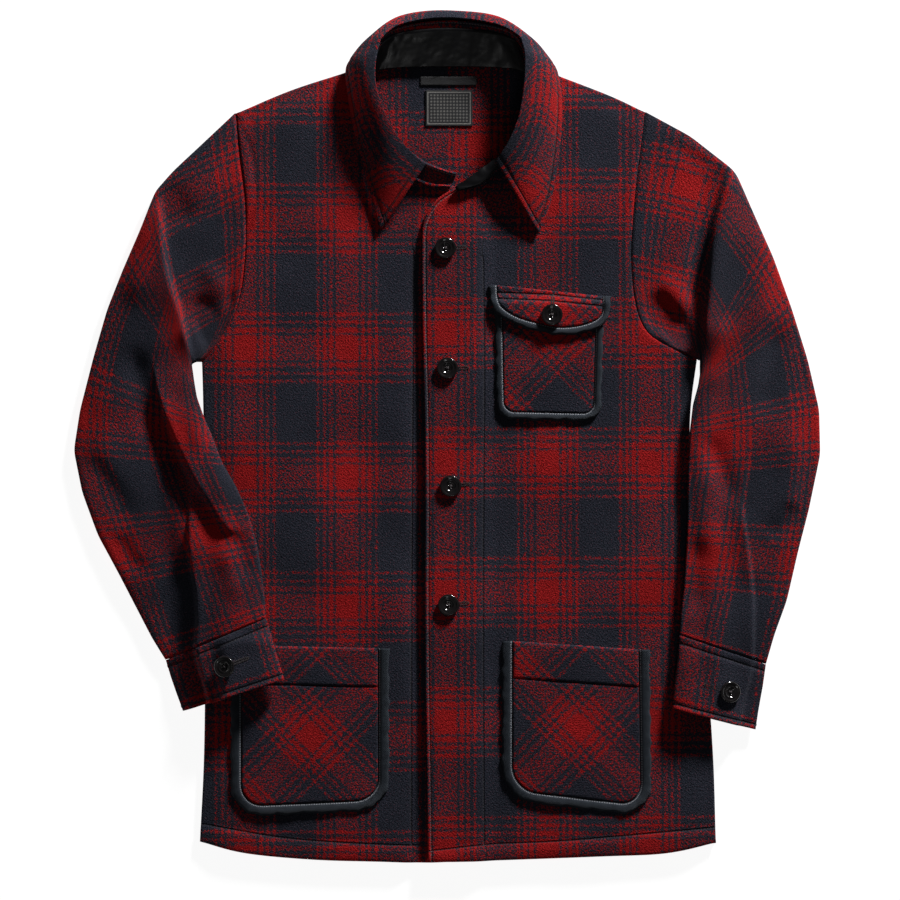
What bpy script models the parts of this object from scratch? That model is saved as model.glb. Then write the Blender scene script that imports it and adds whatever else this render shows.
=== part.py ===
"""Wool jacket laid flat on its back, front up, built from the pieces that are cut and sewn.

+X is to the wearer's left, +Y to the collar and +Z up from the surface it lies on. Each cloth
piece is a grid of points with a wall. The back lies on the surface, the right front on the back,
the left front over the right one, and pockets, sleeves and collar on those, 0.3 mm apart.
Tables are in millimetres and are turned into metres when a mesh is made.
"""

import math

import bpy
from mathutils import Vector
from mathutils.bvhtree import BVHTree

MM = 0.001

# The middle of the outline in the tables below. The whole is moved so that it is at the origin
MIDDLE = (-0.5, 0.77)

# Cloth and the gaps between pieces
WALL = 2.5
GAP = 0.3
SEAM = 0.8
CUFF_SEAM = 0.6
CUFF_WALL = 3.4
COLLAR_WALL = 3.4
STAND_WALL = 3.0
LINING_WALL = 0.8
BINDING_WALL = 3.2
LABEL_WALL = 0.8

# Air between back and fronts, and how quickly the fronts come down at a seam
BODY_AIR = 3.2
SIDE_ROLL = 16.0
SHOULDER_ROLL = 14.0
UNDERARM_Y = 73.0
UNDERARM_FADE = 30.0

# The left front overlaps the right one at the button stand
OVERLAP_X = 25.0
OVERLAP_LIFT = 4.2
OVERLAP_FALL = 20.0

# Cloth under the sleeves: the side of the body and the hip pockets
SIDE_RAMP = 34.0
LAID_MARGIN = 0.5
POCKET_COVER = 4.6
POCKET_RAMP = 14.0

# Pockets puff up a little, and clear whatever is this near under them
HIP_PUFF = 1.0
CHEST_PUFF = 0.5
LAID_REACH = 5.0

# Number of cells along the edges of the body, the pockets and the collar
SIDE_CELLS_BACK = 8
SIDE_CELLS_FRONT = 14
SHOULDER_CELLS_BACK = 4
NECK_CELLS_BACK = 6
FRONT_EDGE_CELLS = 19
NECK_CELLS_FRONT = 7
SHOULDER_CELLS_RIGHT = 10
SHOULDER_CELLS_LEFT = 12
HIP_CELLS = 20
HIP_SIDE_CELLS = 6
BAND_CELLS = 8
CHEST_CELLS = 20
CHEST_SIDE_CELLS = 6
FLAP_CELLS = 22
FLAP_SIDE_CELLS = 4
LEAF_CELLS = 6
CORNER_CELLS = 6

# Points around half a sleeve, and the bluntness of its rolled edges
SLEEVE_HALF = 12
ROLL_POWER = 0.4
FOLD_HALF_WIDTH = 2.0
FOLD_REACH = 32.0
FOLD_RIDGE = 0.35
FOLD_TROUGH = 0.65

# Outlines in millimetres: x, y. Sides run from the hem up, armholes from underarm to shoulder
SIDE_RIGHT = [(-238, -388), (-234, -300), (-233, -175), (-234, -21), (-235, 36), (-236, 73)]
SIDE_LEFT = [(258, -389), (255, -300), (246, -175), (236, -60), (233, -10), (234, 31), (240, 77)]
ARMHOLE_RIGHT = [(-236, 73), (-223, 89), (-209, 111), (-199, 138), (-194, 180), (-194, 226),
                 (-199, 270), (-203, 312)]
ARMHOLE_LEFT = [(240, 77), (216, 86), (192, 102), (181, 128), (177, 166), (178, 204), (182, 251),
                (190, 313)]
SHOULDER_RIGHT = [(-203, 312), (-151, 334), (-96, 352)]
SHOULDER_LEFT = [(102, 350), (156, 329), (190, 313)]
NECK_RIGHT = [(25, 228), (14, 240), (-7, 244), (-31, 252), (-53, 267), (-71, 289), (-82, 317),
              (-92, 340), (-96, 352)]
NECK_LEFT = [(7, 240), (27, 254), (46, 267), (62, 280), (78, 299), (89, 321), (96, 338), (102, 350)]
NECK_BACK = [(-96, 352), (-78, 355), (0, 357), (85, 354), (102, 350)]
FRONT_EDGE_RIGHT = [(25, -406), (25, -90), (25, 228)]
FRONT_EDGE_LEFT = [(-19, -407), (-20, -348), (-22, -194), (-22, -10), (-24, 93), (-25, 176),
                   (-23, 207), (-11, 228), (7, 240)]
HEM_RIGHT = [(-238, -388), (-193, -399), (-129, -405), (-65, -407), (-22, -408), (25, -406)]
HEM_LEFT = [(-19, -407), (37, -406), (146, -402), (209, -399), (258, -389)]
HEM_BACK = [(-238, -388), (-193, -399), (-129, -405), (0, -407), (146, -402), (209, -399),
            (258, -389)]

# A sleeve is a flattened tube with one row for each ring. outer and inner: ends of the ring, on
# the outline and at the body. armhole: share of the armhole's curve. fold: place of the lengthwise
# fold across the ring. hold: how far the points keep to it. step: height of the outer side above
# the inner one at the fold. thick: thickness near the outer and the inner edge
#   outer_x, outer_y, inner_x, inner_y, armhole, fold, hold, step, thick_outer, thick_inner
SLEEVE_RIGHT = [
    (-204.5, 312, -236, 73, 1.00, 0.50, 0, 0, 8.6, 8.6),
    (-233, 285, -238, 73, 0.70, 0.50, 0, 0, 11, 8),
    (-264, 256, -241, 73, 0.25, 0.50, 0, 0, 11, 7.5),
    (-276, 242, -243, 72, 0.05, 0.50, 0, 0, 10, 8.5),
    (-280, 238, -245.5, 71, 0.00, 0.50, 0, 0, 16, 18),
    (-295, 200, -244, 62, 0.00, 0.50, 0, 0, 15, 18),
    (-312, 161, -242.5, 53, 0.00, 0.50, 0, 0, 13, 18),
    (-327, 123, -240, 39, 0.00, 0.50, 0, 0, 12, 18),
    (-340, 78, -234, 22, 0.00, 0.58, 1, -3, 11, 18),
    (-353, 27, -225, 1, 0.00, 0.64, 1, -6, 11, 17),
    (-359, -12, -216, -23, 0.00, 0.70, 1, -7, 11, 16),
    (-351, -52, -202, -47, 0.00, 0.70, 1, -5, 11, 16),
    (-336, -93, -190, -74, 0.00, 0.60, 1, -3, 11, 16),
    (-316, -130, -182, -103, 0.00, 0.51, 1, -5, 11, 15),
    (-299, -163, -177, -134, 0.00, 0.47, 1, -7, 10, 15),
    (-284, -192, -175, -156, 0.00, 0.40, 1, -8, 10, 15),
    (-271, -213, -174, -172, 0.00, 0.29, 1, -8, 10, 15),
]
SLEEVE_LEFT = [
    (191, 313, 240, 77, 1.00, 0.50, 0, 0, 8.6, 8.6),
    (233, 290, 242, 77, 0.75, 0.50, 0, 0, 11, 8),
    (266, 264, 242, 76, 0.42, 0.50, 0, 0, 10, 7.5),
    (273, 259, 242, 75, 0.35, 0.50, 0, 0, 10, 8.5),
    (278, 252, 243, 74, 0.30, 0.50, 0, 0, 17, 19),
    (295, 213, 242, 68, 0.18, 0.50, 0, 0, 16, 19),
    (313, 173, 242, 61, 0.08, 0.50, 0, 0, 14, 19),
    (331, 123, 240, 50, 0.00, 0.50, 0, 0, 13, 19),
    (346, 75, 235, 32, 0.00, 0.50, 0, 0, 12, 19),
    (357, 27, 232, 6, 0.00, 0.50, 0, 0, 12, 18),
    (358, -16, 230, -29, 0.00, 0.54, 1, -1, 12, 17),
    (347, -69, 230, -64, 0.00, 0.55, 1, -3, 12, 16),
    (337, -108, 229, -103, 0.00, 0.45, 1, -5, 11, 16),
    (326, -156, 226, -146, 0.00, 0.32, 1, -6, 11, 15),
    (314, -189, 223, -170, 0.00, 0.22, 1, -6, 11, 15),
    (306, -217, 222, -188, 0.00, 0.14, 1, -6, 10, 15),
]
CUFF_RIGHT = [
    (-271, -213, -174, -172, 0, 0.29, 1, -8, 11, 16),
    (-266, -229, -168, -190, 0, 0.28, 1, -8, 11, 16),
    (-260, -246, -162, -211, 0, 0.27, 1, -8, 11, 16),
    (-254, -262, -156, -231, 0, 0.25, 1, -8, 11, 16),
]
CUFF_LEFT = [
    (306, -217, 222, -188, 0, 0.14, 1, -6, 11, 16),
    (303, -238, 220, -212, 0, 0.16, 1, -6, 11, 16),
    (299, -260, 217, -236, 0, 0.18, 1, -6, 11, 16),
    (296, -280, 215, -259, 0, 0.19, 1, -6, 11, 16),
]

# The stand of the collar, from its right end round the back to its left end
#   seam_x, seam_y, seam_z, top_x, top_y, top_z
STAND = [
    (6, 246, 9.5, 9, 254, 16.5),
    (-12, 245, 9.5, -6, 258, 18.0),
    (-31, 252, 9.5, -26, 267, 20.7),
    (-53, 267, 9.5, -47, 286, 24.3),
    (-71, 289, 9.5, -60, 310, 26.6),
    (-82, 317, 9.5, -68, 336, 27.6),
    (-84, 340, 8.5, -68, 361, 27),
    (-71, 352, 6.5, -61, 383, 24.1),
    (-48, 356, 6.2, -42, 394, 21.4),
    (0, 357, 6.2, 0, 399, 20.5),
    (50, 356, 6.2, 45, 394, 21.4),
    (73, 352, 6.5, 66, 383, 24.6),
    (89, 340, 8.5, 73, 361, 27.5),
    (90, 317, 9.5, 72, 336, 27.7),
    (78, 299, 9.5, 68, 307, 27),
    (62, 280, 10.5, 58, 282, 25.6),
    (46, 267, 13.5, 49, 260, 21.6),
    (27, 254, 16.5, 35, 243, 17.5),
    (7, 240, 16.5, 10, 236, 17.0),
]
STAND_ROWS = (0.0, 0.29, 0.57, 0.86, 1.0)
LINING_FIRST = 4
LINING_GAP = 0.5

# The leaf of the collar, from its right front edge round the back to its left front edge
#   roll_x, roll_y, roll_z, bend_x, bend_y, bend_z, edge_x, edge_y, edge_z
LEAF = [
    (-21, 261, 26, -41, 230, 22, -64, 200, 13),
    (-37, 275, 29, -54, 255, 26, -73, 231, 13),
    (-48, 288, 31, -64, 276, 29, -81, 260, 13),
    (-59, 308, 33, -73, 300, 31, -89, 291, 13),
    (-68, 334, 34, -82, 329, 32, -95, 323, 13),
    (-69, 361, 33, -89, 358, 30, -98, 349, 10.5),
    (-66, 374, 31, -92, 373, 22, -94, 361, 3.5),
    (-61, 384, 29, -86, 390, 16, -76, 362, 0.4),
    (-42, 396, 25, -50, 422, 9, -44, 366, 0.4),
    (0, 402, 23, 0, 428, 8, 0, 366, 0.4),
    (45, 396, 25, 53, 421, 9, 48, 366, 0.4),
    (67, 385, 29, 91, 388, 16, 83, 362, 0.4),
    (72, 375, 31, 98, 371, 22, 101, 359, 3.5),
    (74, 363, 33, 97, 359, 30, 107, 346, 10.5),
    (73, 336, 34, 90, 331, 32, 110, 321, 13),
    (68, 307, 33, 86, 300, 31, 109, 289, 13),
    (59, 284, 31, 79, 273, 29, 104, 251, 13),
    (52, 273, 29, 73, 251, 26, 97, 219, 13),
    (46, 264, 26, 66, 233, 22, 87, 195, 13),
]

# Pockets: corners of the bound outline from bottom left, against the clock
HIP_POCKET_RIGHT = [(-208, -364), (-56, -357), (-56, -202), (-208, -199)]
HIP_POCKET_LEFT = [(52, -347), (196, -364), (194, -203), (52, -195)]
CHEST_POCKET = [(47, 18), (147, 16), (150, 127), (45, 130)]
HIP_CORNER = 32.0
CHEST_CORNER = 17.0
HIP_BINDING = 10.5
CHEST_BINDING = 7.4
HIP_BAND_SHARE = 0.085
FLAP_EDGE = [(40, 146), (41, 132), (47, 120), (64, 109), (88, 102), (109, 98.5), (131, 101),
             (148, 108), (155.5, 119), (156, 136)]
FLAP_LIFT = 4.3
FLAP_SEAM_Y = 139.0
FLAP_RISE = 11.0

# The half section of a button, from its middle over the rim and back: radius, height
BUTTON_RADIUS = 10.3
BUTTON_SECTION = [(0.0, 1.9), (4.4, 1.9), (5.4, 3.1), (8.6, 4.2), (10.3, 3.2), (10.3, 1.6),
                  (8.0, 0.0), (0.0, 0.0)]
BUTTON_STEPS = 20

# Buttons: name, x, y, and the node that carries it
BUTTONS = [
    ("button_1", -2, 182, "front_left"),
    ("button_2", 0, 67, "front_left"),
    ("button_3", 3, -46, "front_left"),
    ("button_4", 1, -160, "front_left"),
    ("button_flap", 100, 118, "flap"),
    ("button_cuff_right", -212, -218, "cuff_right"),
    ("button_cuff_left", 270, -243, "cuff_left"),
]

# Labels: name, left, bottom, right, top
LABELS = [
    ("label_tape", -26, 339, 28, 347.5),
    ("label_patch", -21, 300, 24, 334.5),
]

# Colours as red, green, blue, then roughness
WOOL_RED = (0.16, 0.012, 0.014, 0.9)
WOOL_DARK = (0.022, 0.020, 0.028, 0.9)
TWILL = (0.018, 0.022, 0.030, 0.8)
GLOSSY_LINING = (0.006, 0.006, 0.007, 0.3)
HORN = (0.008, 0.007, 0.008, 0.15)
LABEL_CLOTH = (0.02, 0.02, 0.02, 0.7)


def mix(a, b, share):
    """A value or a point part of the way from a to b."""
    if isinstance(a, (int, float)):
        return a + (b - a) * share
    return tuple(p + (q - p) * share for p, q in zip(a, b))


def smooth_step(value):
    held = min(max(value, 0.0), 1.0)
    return held * held * (3 - 2 * held)


def through(points, share):
    """The point at a share of a smooth curve through the points."""
    last = len(points) - 1
    place = min(max(share, 0.0), 1.0) * last
    index = min(int(place), last - 1)
    t = place - index
    p1, p2 = points[index], points[index + 1]
    p0 = points[index - 1] if index else mix(p1, p2, -1.0)
    p3 = points[index + 2] if index + 2 <= last else mix(p2, p1, -1.0)
    found = []
    for a, b, c, d in zip(p0, p1, p2, p3):
        slope_in, slope_out = (c - a) / 2, (d - b) / 2
        found.append(b + slope_in * t + (3 * (c - b) - 2 * slope_in - slope_out) * t * t
                     + (2 * (b - c) + slope_in + slope_out) * t * t * t)
    return tuple(found)


def along(points, shares):
    """Points at shares of the length of the smooth curve through the points."""
    fine = [through(points, i / (12 * len(points))) for i in range(12 * len(points) + 1)]
    lengths = [0.0]
    for a, b in zip(fine, fine[1:]):
        lengths.append(lengths[-1] + math.dist(a, b))
    found = []
    for share in shares:
        target = share * lengths[-1]
        index = 0
        while index < len(fine) - 2 and lengths[index + 1] < target:
            index += 1
        span = lengths[index + 1] - lengths[index]
        found.append(mix(fine[index], fine[index + 1], (target - lengths[index]) / span))
    return found


def evenly(points, count):
    return along(points, [i / count for i in range(count + 1)])


def ring_shares():
    """Places across a sleeve, closer together towards its rolled edges."""
    return [0.5 - 0.5 * math.cos(math.pi * i / SLEEVE_HALF) for i in range(SLEEVE_HALF + 1)]


def joined(*paths):
    whole = list(paths[0])
    for path in paths[1:]:
        whole += path[1:]
    return whole


def coons(bottom, right, top, left):
    """A grid of rows between four edges: bottom and top run to the right, the sides run up."""
    columns, rows = len(bottom) - 1, len(left) - 1
    grid = []
    for j in range(rows + 1):
        v = j / rows
        row = []
        for i in range(columns + 1):
            u = i / columns
            across = mix(left[j], right[j], u)
            up = mix(bottom[i], top[i], v)
            corners = mix(mix(bottom[0], bottom[-1], u), mix(top[0], top[-1], u), v)
            row.append(tuple(a + b - c for a, b, c in zip(across, up, corners)))
        grid.append(row)
    return grid


def line_at(points, value, by, give):
    """The other coordinate where a line of points reaches a value. The points run one way."""
    ordered = sorted(points, key=lambda point: point[by])
    if value <= ordered[0][by]:
        return ordered[0][give]
    for a, b in zip(ordered, ordered[1:]):
        if value <= b[by]:
            return mix(a[give], b[give], (value - a[by]) / (b[by] - a[by]))
    return ordered[-1][give]


def rolled(depth, width):
    """From 0 at a seam to 1 well inside it."""
    return 1 - math.exp(-((max(depth, 0.0) / width) ** 2))


def side_depth(x, y):
    """How far a point lies inside the side seams, below 0 outside them."""
    return min(x - line_at(SIDE_RIGHT, y, 1, 0), line_at(SIDE_LEFT, y, 1, 0) - x)


def shoulder_depth(x, y):
    """How far a point lies below the shoulder seams."""
    return line_at(SHOULDER_RIGHT + SHOULDER_LEFT, x, 0, 1) - y


def body_rise(x, y):
    """Height of the underside of the fronts above the surface."""
    side = rolled(side_depth(x, y), SIDE_ROLL)
    side = mix(side, 1.0, smooth_step((y - UNDERARM_Y) / UNDERARM_FADE))
    shoulder = rolled(shoulder_depth(x, y), SHOULDER_ROLL)
    return WALL + GAP + BODY_AIR * side * shoulder


def overlap_lift(x):
    """How far the left front is raised where it covers the right one."""
    return OVERLAP_LIFT * (1 - smooth_step((x - OVERLAP_X - 2) / OVERLAP_FALL))


def box_distance(x, y, corners):
    """Distance to the upright box round some corners, 0 inside it."""
    xs, ys = [p[0] for p in corners], [p[1] for p in corners]
    return math.hypot(max(min(xs) - x, 0, x - max(xs)), max(min(ys) - y, 0, y - max(ys)))


def ground(x, y):
    """Height of what a sleeve lies on: the body and its hip pockets, or the surface beside them."""
    depth = side_depth(x, y)
    if depth > 0:
        height = body_rise(x, y) + WALL + LAID_MARGIN
    else:
        height = (2 * WALL + GAP + LAID_MARGIN) * (1 - smooth_step((-depth - 1.5) / SIDE_RAMP))
    for corners in (HIP_POCKET_RIGHT, HIP_POCKET_LEFT):
        near = 1 - smooth_step((box_distance(x, y, corners) - 2) / POCKET_RAMP)
        height += POCKET_COVER * near
    return height * smooth_step((UNDERARM_Y - y) / UNDERARM_FADE)


def material(name, values):
    made = bpy.data.materials.get(name)
    if made:
        return made
    made = bpy.data.materials.new(name)
    made.use_nodes = True
    shader = made.node_tree.nodes["Principled BSDF"]
    shader.inputs["Base Color"].default_value = (*values[:3], 1)
    shader.inputs["Roughness"].default_value = values[3]
    made.diffuse_color = (*values[:3], 1)
    return made


def add_object(name, points, faces, look):
    mesh = bpy.data.meshes.new(name)
    mesh.from_pydata([Vector(point) * MM for point in points], [], faces)
    mesh.materials.append(look)
    mesh.shade_smooth()
    made = bpy.data.objects.new(name, mesh)
    bpy.data.collections["wool_jacket"].objects.link(made)
    return made


def add_wall(made, thickness, side):
    """Gives an open sheet its wall, on the side that its faces look to or on the other."""
    wall = made.modifiers.new("wall", "SOLIDIFY")
    wall.thickness = thickness * MM
    wall.offset = side
    wall.use_even_offset = False


def add_sheet(name, grid, thickness, look, side=1):
    """A sheet of rows of points. The wall grows up from it, or down where side is -1."""
    width = len(grid[0])
    points = [point for row in grid for point in row]
    faces = []
    for j in range(len(grid) - 1):
        for i in range(width - 1):
            a = j * width + i
            faces.append((a, a + 1, a + width + 1, a + width))
    made = add_object(name, points, faces, look)
    add_wall(made, thickness, side)
    return made


def add_tube(name, rings, thickness, look):
    """A tube of rings, open at both ends, whose wall grows inwards."""
    around = len(rings[0])
    points = [point for ring in rings for point in ring]
    faces = []
    for j in range(len(rings) - 1):
        for i in range(around):
            a, b = j * around + i, j * around + (i + 1) % around
            faces.append((a, b, b + around, a + around))
    centre = Vector(rings[0][0]) + Vector(rings[0][SLEEVE_HALF])
    a, b, c = (Vector(points[index]) for index in faces[SLEEVE_HALF // 2][:3])
    if (b - a).cross(c - b).dot(a - centre / 2) < 0:
        faces = [face[::-1] for face in faces]
    made = add_object(name, points, faces, look)
    add_wall(made, thickness, -1)
    return made


def raised(grid, height):
    return [[(x, y, height(x, y)) for x, y in row] for row in grid]


def make_back(wool):
    shares = ring_shares()
    left = joined(evenly(SIDE_RIGHT, SIDE_CELLS_BACK), along(ARMHOLE_RIGHT, shares))
    right = joined(evenly(SIDE_LEFT, SIDE_CELLS_BACK), along(ARMHOLE_LEFT, shares))
    top = joined(evenly(SHOULDER_RIGHT, SHOULDER_CELLS_BACK), evenly(NECK_BACK, NECK_CELLS_BACK),
                 evenly(SHOULDER_LEFT, SHOULDER_CELLS_BACK))
    bottom = evenly(HEM_BACK, len(top) - 1)
    add_sheet("back", raised(coons(bottom, right, top, left), lambda x, y: 0.0), WALL, wool)


def make_fronts(wool):
    shares = ring_shares()
    outer = joined(evenly(SIDE_RIGHT, SIDE_CELLS_FRONT), along(ARMHOLE_RIGHT, shares))
    inner = joined(evenly(FRONT_EDGE_RIGHT, FRONT_EDGE_CELLS), evenly(NECK_RIGHT, NECK_CELLS_FRONT))
    top = evenly(SHOULDER_RIGHT, SHOULDER_CELLS_RIGHT)
    bottom = evenly(HEM_RIGHT, SHOULDER_CELLS_RIGHT)
    add_sheet("front_right", raised(coons(bottom, inner, top, outer), body_rise), WALL, wool)

    outer = joined(evenly(SIDE_LEFT, SIDE_CELLS_FRONT), along(ARMHOLE_LEFT, shares))
    inner = joined(evenly(FRONT_EDGE_LEFT, FRONT_EDGE_CELLS), evenly(NECK_LEFT, NECK_CELLS_FRONT))
    top = evenly(SHOULDER_LEFT, SHOULDER_CELLS_LEFT)
    bottom = evenly(HEM_LEFT, SHOULDER_CELLS_LEFT)
    grid = raised(coons(bottom, outer, top, inner), lambda x, y: body_rise(x, y) + overlap_lift(x))
    add_sheet("front_left", grid, WALL, wool)


def ring_of(row, armhole, seam_shift):
    """The points round one ring of a sleeve, over the top from its outer to its inner edge."""
    outer, inner = row[0:2], row[2:4]
    arm_share, fold, hold, step, thick_outer, thick_inner = row[4:]
    natural = ring_shares()
    curve = along(armhole, natural)
    width = math.dist(outer, inner)
    mid = SLEEVE_HALF // 2
    half_fold = FOLD_HALF_WIDTH / width
    top, bottom = [], []
    ends = curve[0], curve[-1]
    for k, u in enumerate(natural):
        if k <= mid:
            folded = u / natural[mid] * (fold - half_fold)
        else:
            folded = 1 - (1 - u) / (1 - natural[mid + 1]) * (1 - fold - half_fold)
        place = mix(u, folded, hold)
        bow = [c - d for c, d in zip(curve[k], mix(*ends, u))]
        before, after = curve[max(k - 1, 0)], curve[min(k + 1, SLEEVE_HALF)]
        down = Vector((after[0] - before[0], after[1] - before[1])).normalized()
        x, y = (a + arm_share * b for a, b in zip(mix(outer, inner, place), bow))
        x -= down.y * seam_shift
        y += down.x * seam_shift
        thickness = mix(thick_outer, thick_inner, place)
        blunt = math.sin(math.pi * k / SLEEVE_HALF) ** ROLL_POWER if 0 < k < SLEEVE_HALF else 0.0
        away = abs(place - fold) * width / FOLD_REACH
        is_outer = k <= mid
        is_raised = (step > 0) == is_outer
        share = FOLD_RIDGE if is_raised else -FOLD_TROUGH
        relief = abs(step) * share * math.exp(-away) * blunt
        base = ground(x, y)
        top.append((x, y, base + thickness * (0.5 + 0.5 * blunt) + relief))
        bottom.append((x, y, base + thickness * (0.5 - 0.5 * blunt)))
    return top + bottom[-2:0:-1]


def make_sleeves(wool):
    sides = (("right", SLEEVE_RIGHT, CUFF_RIGHT, ARMHOLE_RIGHT, -1),
             ("left", SLEEVE_LEFT, CUFF_LEFT, ARMHOLE_LEFT, 1))
    for side, sleeve, cuff, armhole, out in sides:
        down = armhole[::-1]
        rings = [ring_of(row, down, out * SEAM if index == 0 else 0.0)
                 for index, row in enumerate(sleeve)]
        add_tube(f"sleeve_{side}", rings, WALL, wool)
        along_arm = Vector((cuff[1][0] - cuff[0][0], cuff[1][1] - cuff[0][1])).normalized() * CUFF_SEAM
        first = (cuff[0][0] + along_arm.x, cuff[0][1] + along_arm.y,
                 cuff[0][2] + along_arm.x, cuff[0][3] + along_arm.y, *cuff[0][4:])
        rings = [ring_of(row, down, 0.0) for row in [first, *cuff[1:]]]
        add_tube(f"cuff_{side}", rings, CUFF_WALL, wool)


def stand_grid():
    """The inner face of the stand, in rows from its seam up to its top edge."""
    columns = 2 * (len(STAND) - 1)
    grid = []
    for up in STAND_ROWS:
        row = []
        for i in range(columns + 1):
            values = through(STAND, i / columns)
            row.append(mix(values[:3], values[3:], up))
        grid.append(row)
    return grid


def make_stand(wool, glossy):
    """The stand, and the lining that covers its inner face up to just below the top edge."""
    grid = stand_grid()
    add_sheet("collar_stand", grid, STAND_WALL, wool, side=-1)
    width = len(grid[0])
    lifted = []
    for row in grid[:-1]:
        new_row = []
        for i in range(2 * LINING_FIRST, width):
            beside = Vector(row[min(i + 1, width - 1)]) - Vector(row[i - 1])
            upward = Vector(grid[-1][i]) - Vector(grid[0][i])
            new_row.append(tuple(Vector(row[i]) + beside.cross(upward).normalized() * LINING_GAP))
        lifted.append(new_row)
    add_sheet("neck_lining", lifted, LINING_WALL, glossy, side=1)


def make_leaf(wool):
    columns, rows = 2 * (len(LEAF) - 1), LEAF_CELLS
    grid = []
    for j in range(rows + 1):
        t = j / rows
        row = []
        for i in range(columns + 1):
            values = through(LEAF, i / columns)
            roll, bend, edge = values[:3], values[3:6], values[6:]
            row.append(mix(mix(roll, bend, t), mix(bend, edge, t), t))
        grid.append(row)
    add_sheet("collar_leaf", grid, COLLAR_WALL, wool, side=-1)


def pocket_path(corners, radius, shares):
    """The U of a pocket's edge, from its top left down and round to its top right."""
    width = math.dist(corners[0], corners[1])
    height = math.dist(corners[0], corners[3])
    arcs = []
    for centre_x, first in ((radius, math.pi), (width - radius, 1.5 * math.pi)):
        for i in range(CORNER_CELLS + 1):
            angle = first + 0.5 * math.pi * i / CORNER_CELLS
            arcs.append((centre_x + radius * math.cos(angle), radius + radius * math.sin(angle)))
    sides = [mix(height, radius, share) for share in (0.0, 0.33, 0.67)]
    local = [(0.0, y) for y in sides] + arcs + [(width, y) for y in sides[::-1]]
    placed = []
    for x, y in local:
        low_point = mix(corners[0], corners[1], x / width)
        high_point = mix(corners[3], corners[2], x / width)
        placed.append(mix(low_point, high_point, y / height))
    return along(placed, shares)


def inset_path(path, distance):
    """A path beside another, to the left of its direction."""
    moved = []
    for i, point in enumerate(path):
        before, after = path[max(i - 1, 0)], path[min(i + 1, len(path) - 1)]
        direction = Vector((after[0] - before[0], after[1] - before[1])).normalized()
        moved.append((point[0] - direction.y * distance, point[1] + direction.x * distance))
    return moved


def u_patch(path, side_count):
    """The grid inside a U-shaped path, which starts at its top left."""
    left = path[:side_count + 1][::-1]
    right = path[len(path) - 1 - side_count:]
    bottom = path[side_count:len(path) - side_count]
    top = [mix(path[0], path[-1], i / (len(bottom) - 1)) for i in range(len(bottom))]
    return coons(bottom, right, top, left)


def puffed(grid, base, puff):
    """Raises a grid on its base, a little more in its middle."""
    rows, columns = len(grid) - 1, len(grid[0]) - 1
    made = []
    for j, row in enumerate(grid):
        made.append([])
        for i, (x, y) in enumerate(row):
            middle = math.sin(math.pi * i / columns) * math.sin(math.pi * j / rows)
            made[-1].append((x, y, base(x, y) + puff * middle))
    return made


def add_binding(name, outer, width, base, look):
    """A folded tape that runs along a path, highest along its middle."""
    inner = inset_path(outer, width)
    middle = inset_path(outer, width / 2)
    grid = [[(x, y, base(x, y)) for x, y in line] for line in (outer, middle, inner)]
    add_sheet(name, grid, BINDING_WALL, look)


def tree_of(name):
    """The finished surface of a piece, for laying others on."""
    bpy.context.view_layer.update()
    return BVHTree.FromObject(bpy.data.objects[name], bpy.context.evaluated_depsgraph_get())


def height_over(tree, x, y):
    """Height of a surface seen from above, or 0 beside it."""
    hit = tree.ray_cast(Vector((x * MM, y * MM, 1.0)), Vector((0, 0, -1)))[0]
    return hit.z / MM if hit else 0.0


def laid_on(name, reach=LAID_REACH):
    """A function for the height at which cloth lies on a piece, clear of what is near the point."""
    tree = tree_of(name)

    def height(x, y):
        near = [height_over(tree, x, y)]
        for turn in range(8):
            angle = math.pi * turn / 4
            near.append(height_over(tree, x + reach * math.cos(angle), y + reach * math.sin(angle)))
        return max(near) + GAP
    return height


def make_hip_pockets(wool, dark, twill):
    """Each pocket is a bound body and a top band on one of the fronts."""
    band = HIP_BAND_SHARE
    body = [mix(band, 1 - band, i / HIP_CELLS) for i in range(HIP_CELLS + 1)]
    shares = [0.0, band / 2, *body, 1 - band / 2, 1.0]
    for side, corners in (("right", HIP_POCKET_RIGHT), ("left", HIP_POCKET_LEFT)):
        on_front = laid_on(f"front_{side}")
        outer = pocket_path(corners, HIP_CORNER, shares)
        add_binding(f"hip_binding_{side}", outer, HIP_BINDING, on_front, twill)
        inside = inset_path(outer, HIP_BINDING + GAP)
        grid = u_patch(inside[2:-2], HIP_SIDE_CELLS)
        add_sheet(f"hip_pocket_{side}", puffed(grid, on_front, HIP_PUFF), WALL, wool)
        left, right = inside[2:None:-1], inside[-3:]
        left = [(x, y + (GAP if index == 0 else 0.0)) for index, (x, y) in enumerate(left)]
        right = [(x, y + (GAP if index == 0 else 0.0)) for index, (x, y) in enumerate(right)]
        bottom = evenly([left[0], right[0]], BAND_CELLS)
        top = evenly([left[-1], right[-1]], BAND_CELLS)
        grid = coons(bottom, right, top, left)
        add_sheet(f"hip_band_{side}", puffed(grid, on_front, HIP_PUFF), WALL, dark)


def make_chest_pocket(wool, twill):
    """A bound pocket on the left front, under a bound flap that is sewn on above it."""
    on_front = laid_on("front_left")
    shares = [i / CHEST_CELLS for i in range(CHEST_CELLS + 1)]
    outer = pocket_path(CHEST_POCKET, CHEST_CORNER, shares)
    add_binding("chest_binding", outer, CHEST_BINDING, on_front, twill)
    grid = u_patch(inset_path(outer, CHEST_BINDING + GAP), CHEST_SIDE_CELLS)
    add_sheet("chest_pocket", puffed(grid, on_front, CHEST_PUFF), WALL, wool)

    def on_pocket(x, y):
        return on_front(x, y) + FLAP_LIFT * smooth_step((FLAP_SEAM_Y - y) / FLAP_RISE)

    edge = evenly(FLAP_EDGE, FLAP_CELLS)
    add_binding("flap_binding", edge, CHEST_BINDING, on_pocket, twill)
    grid = u_patch(inset_path(edge, CHEST_BINDING + GAP), FLAP_SIDE_CELLS)
    add_sheet("flap", raised(grid, on_pocket), WALL, wool)


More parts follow.
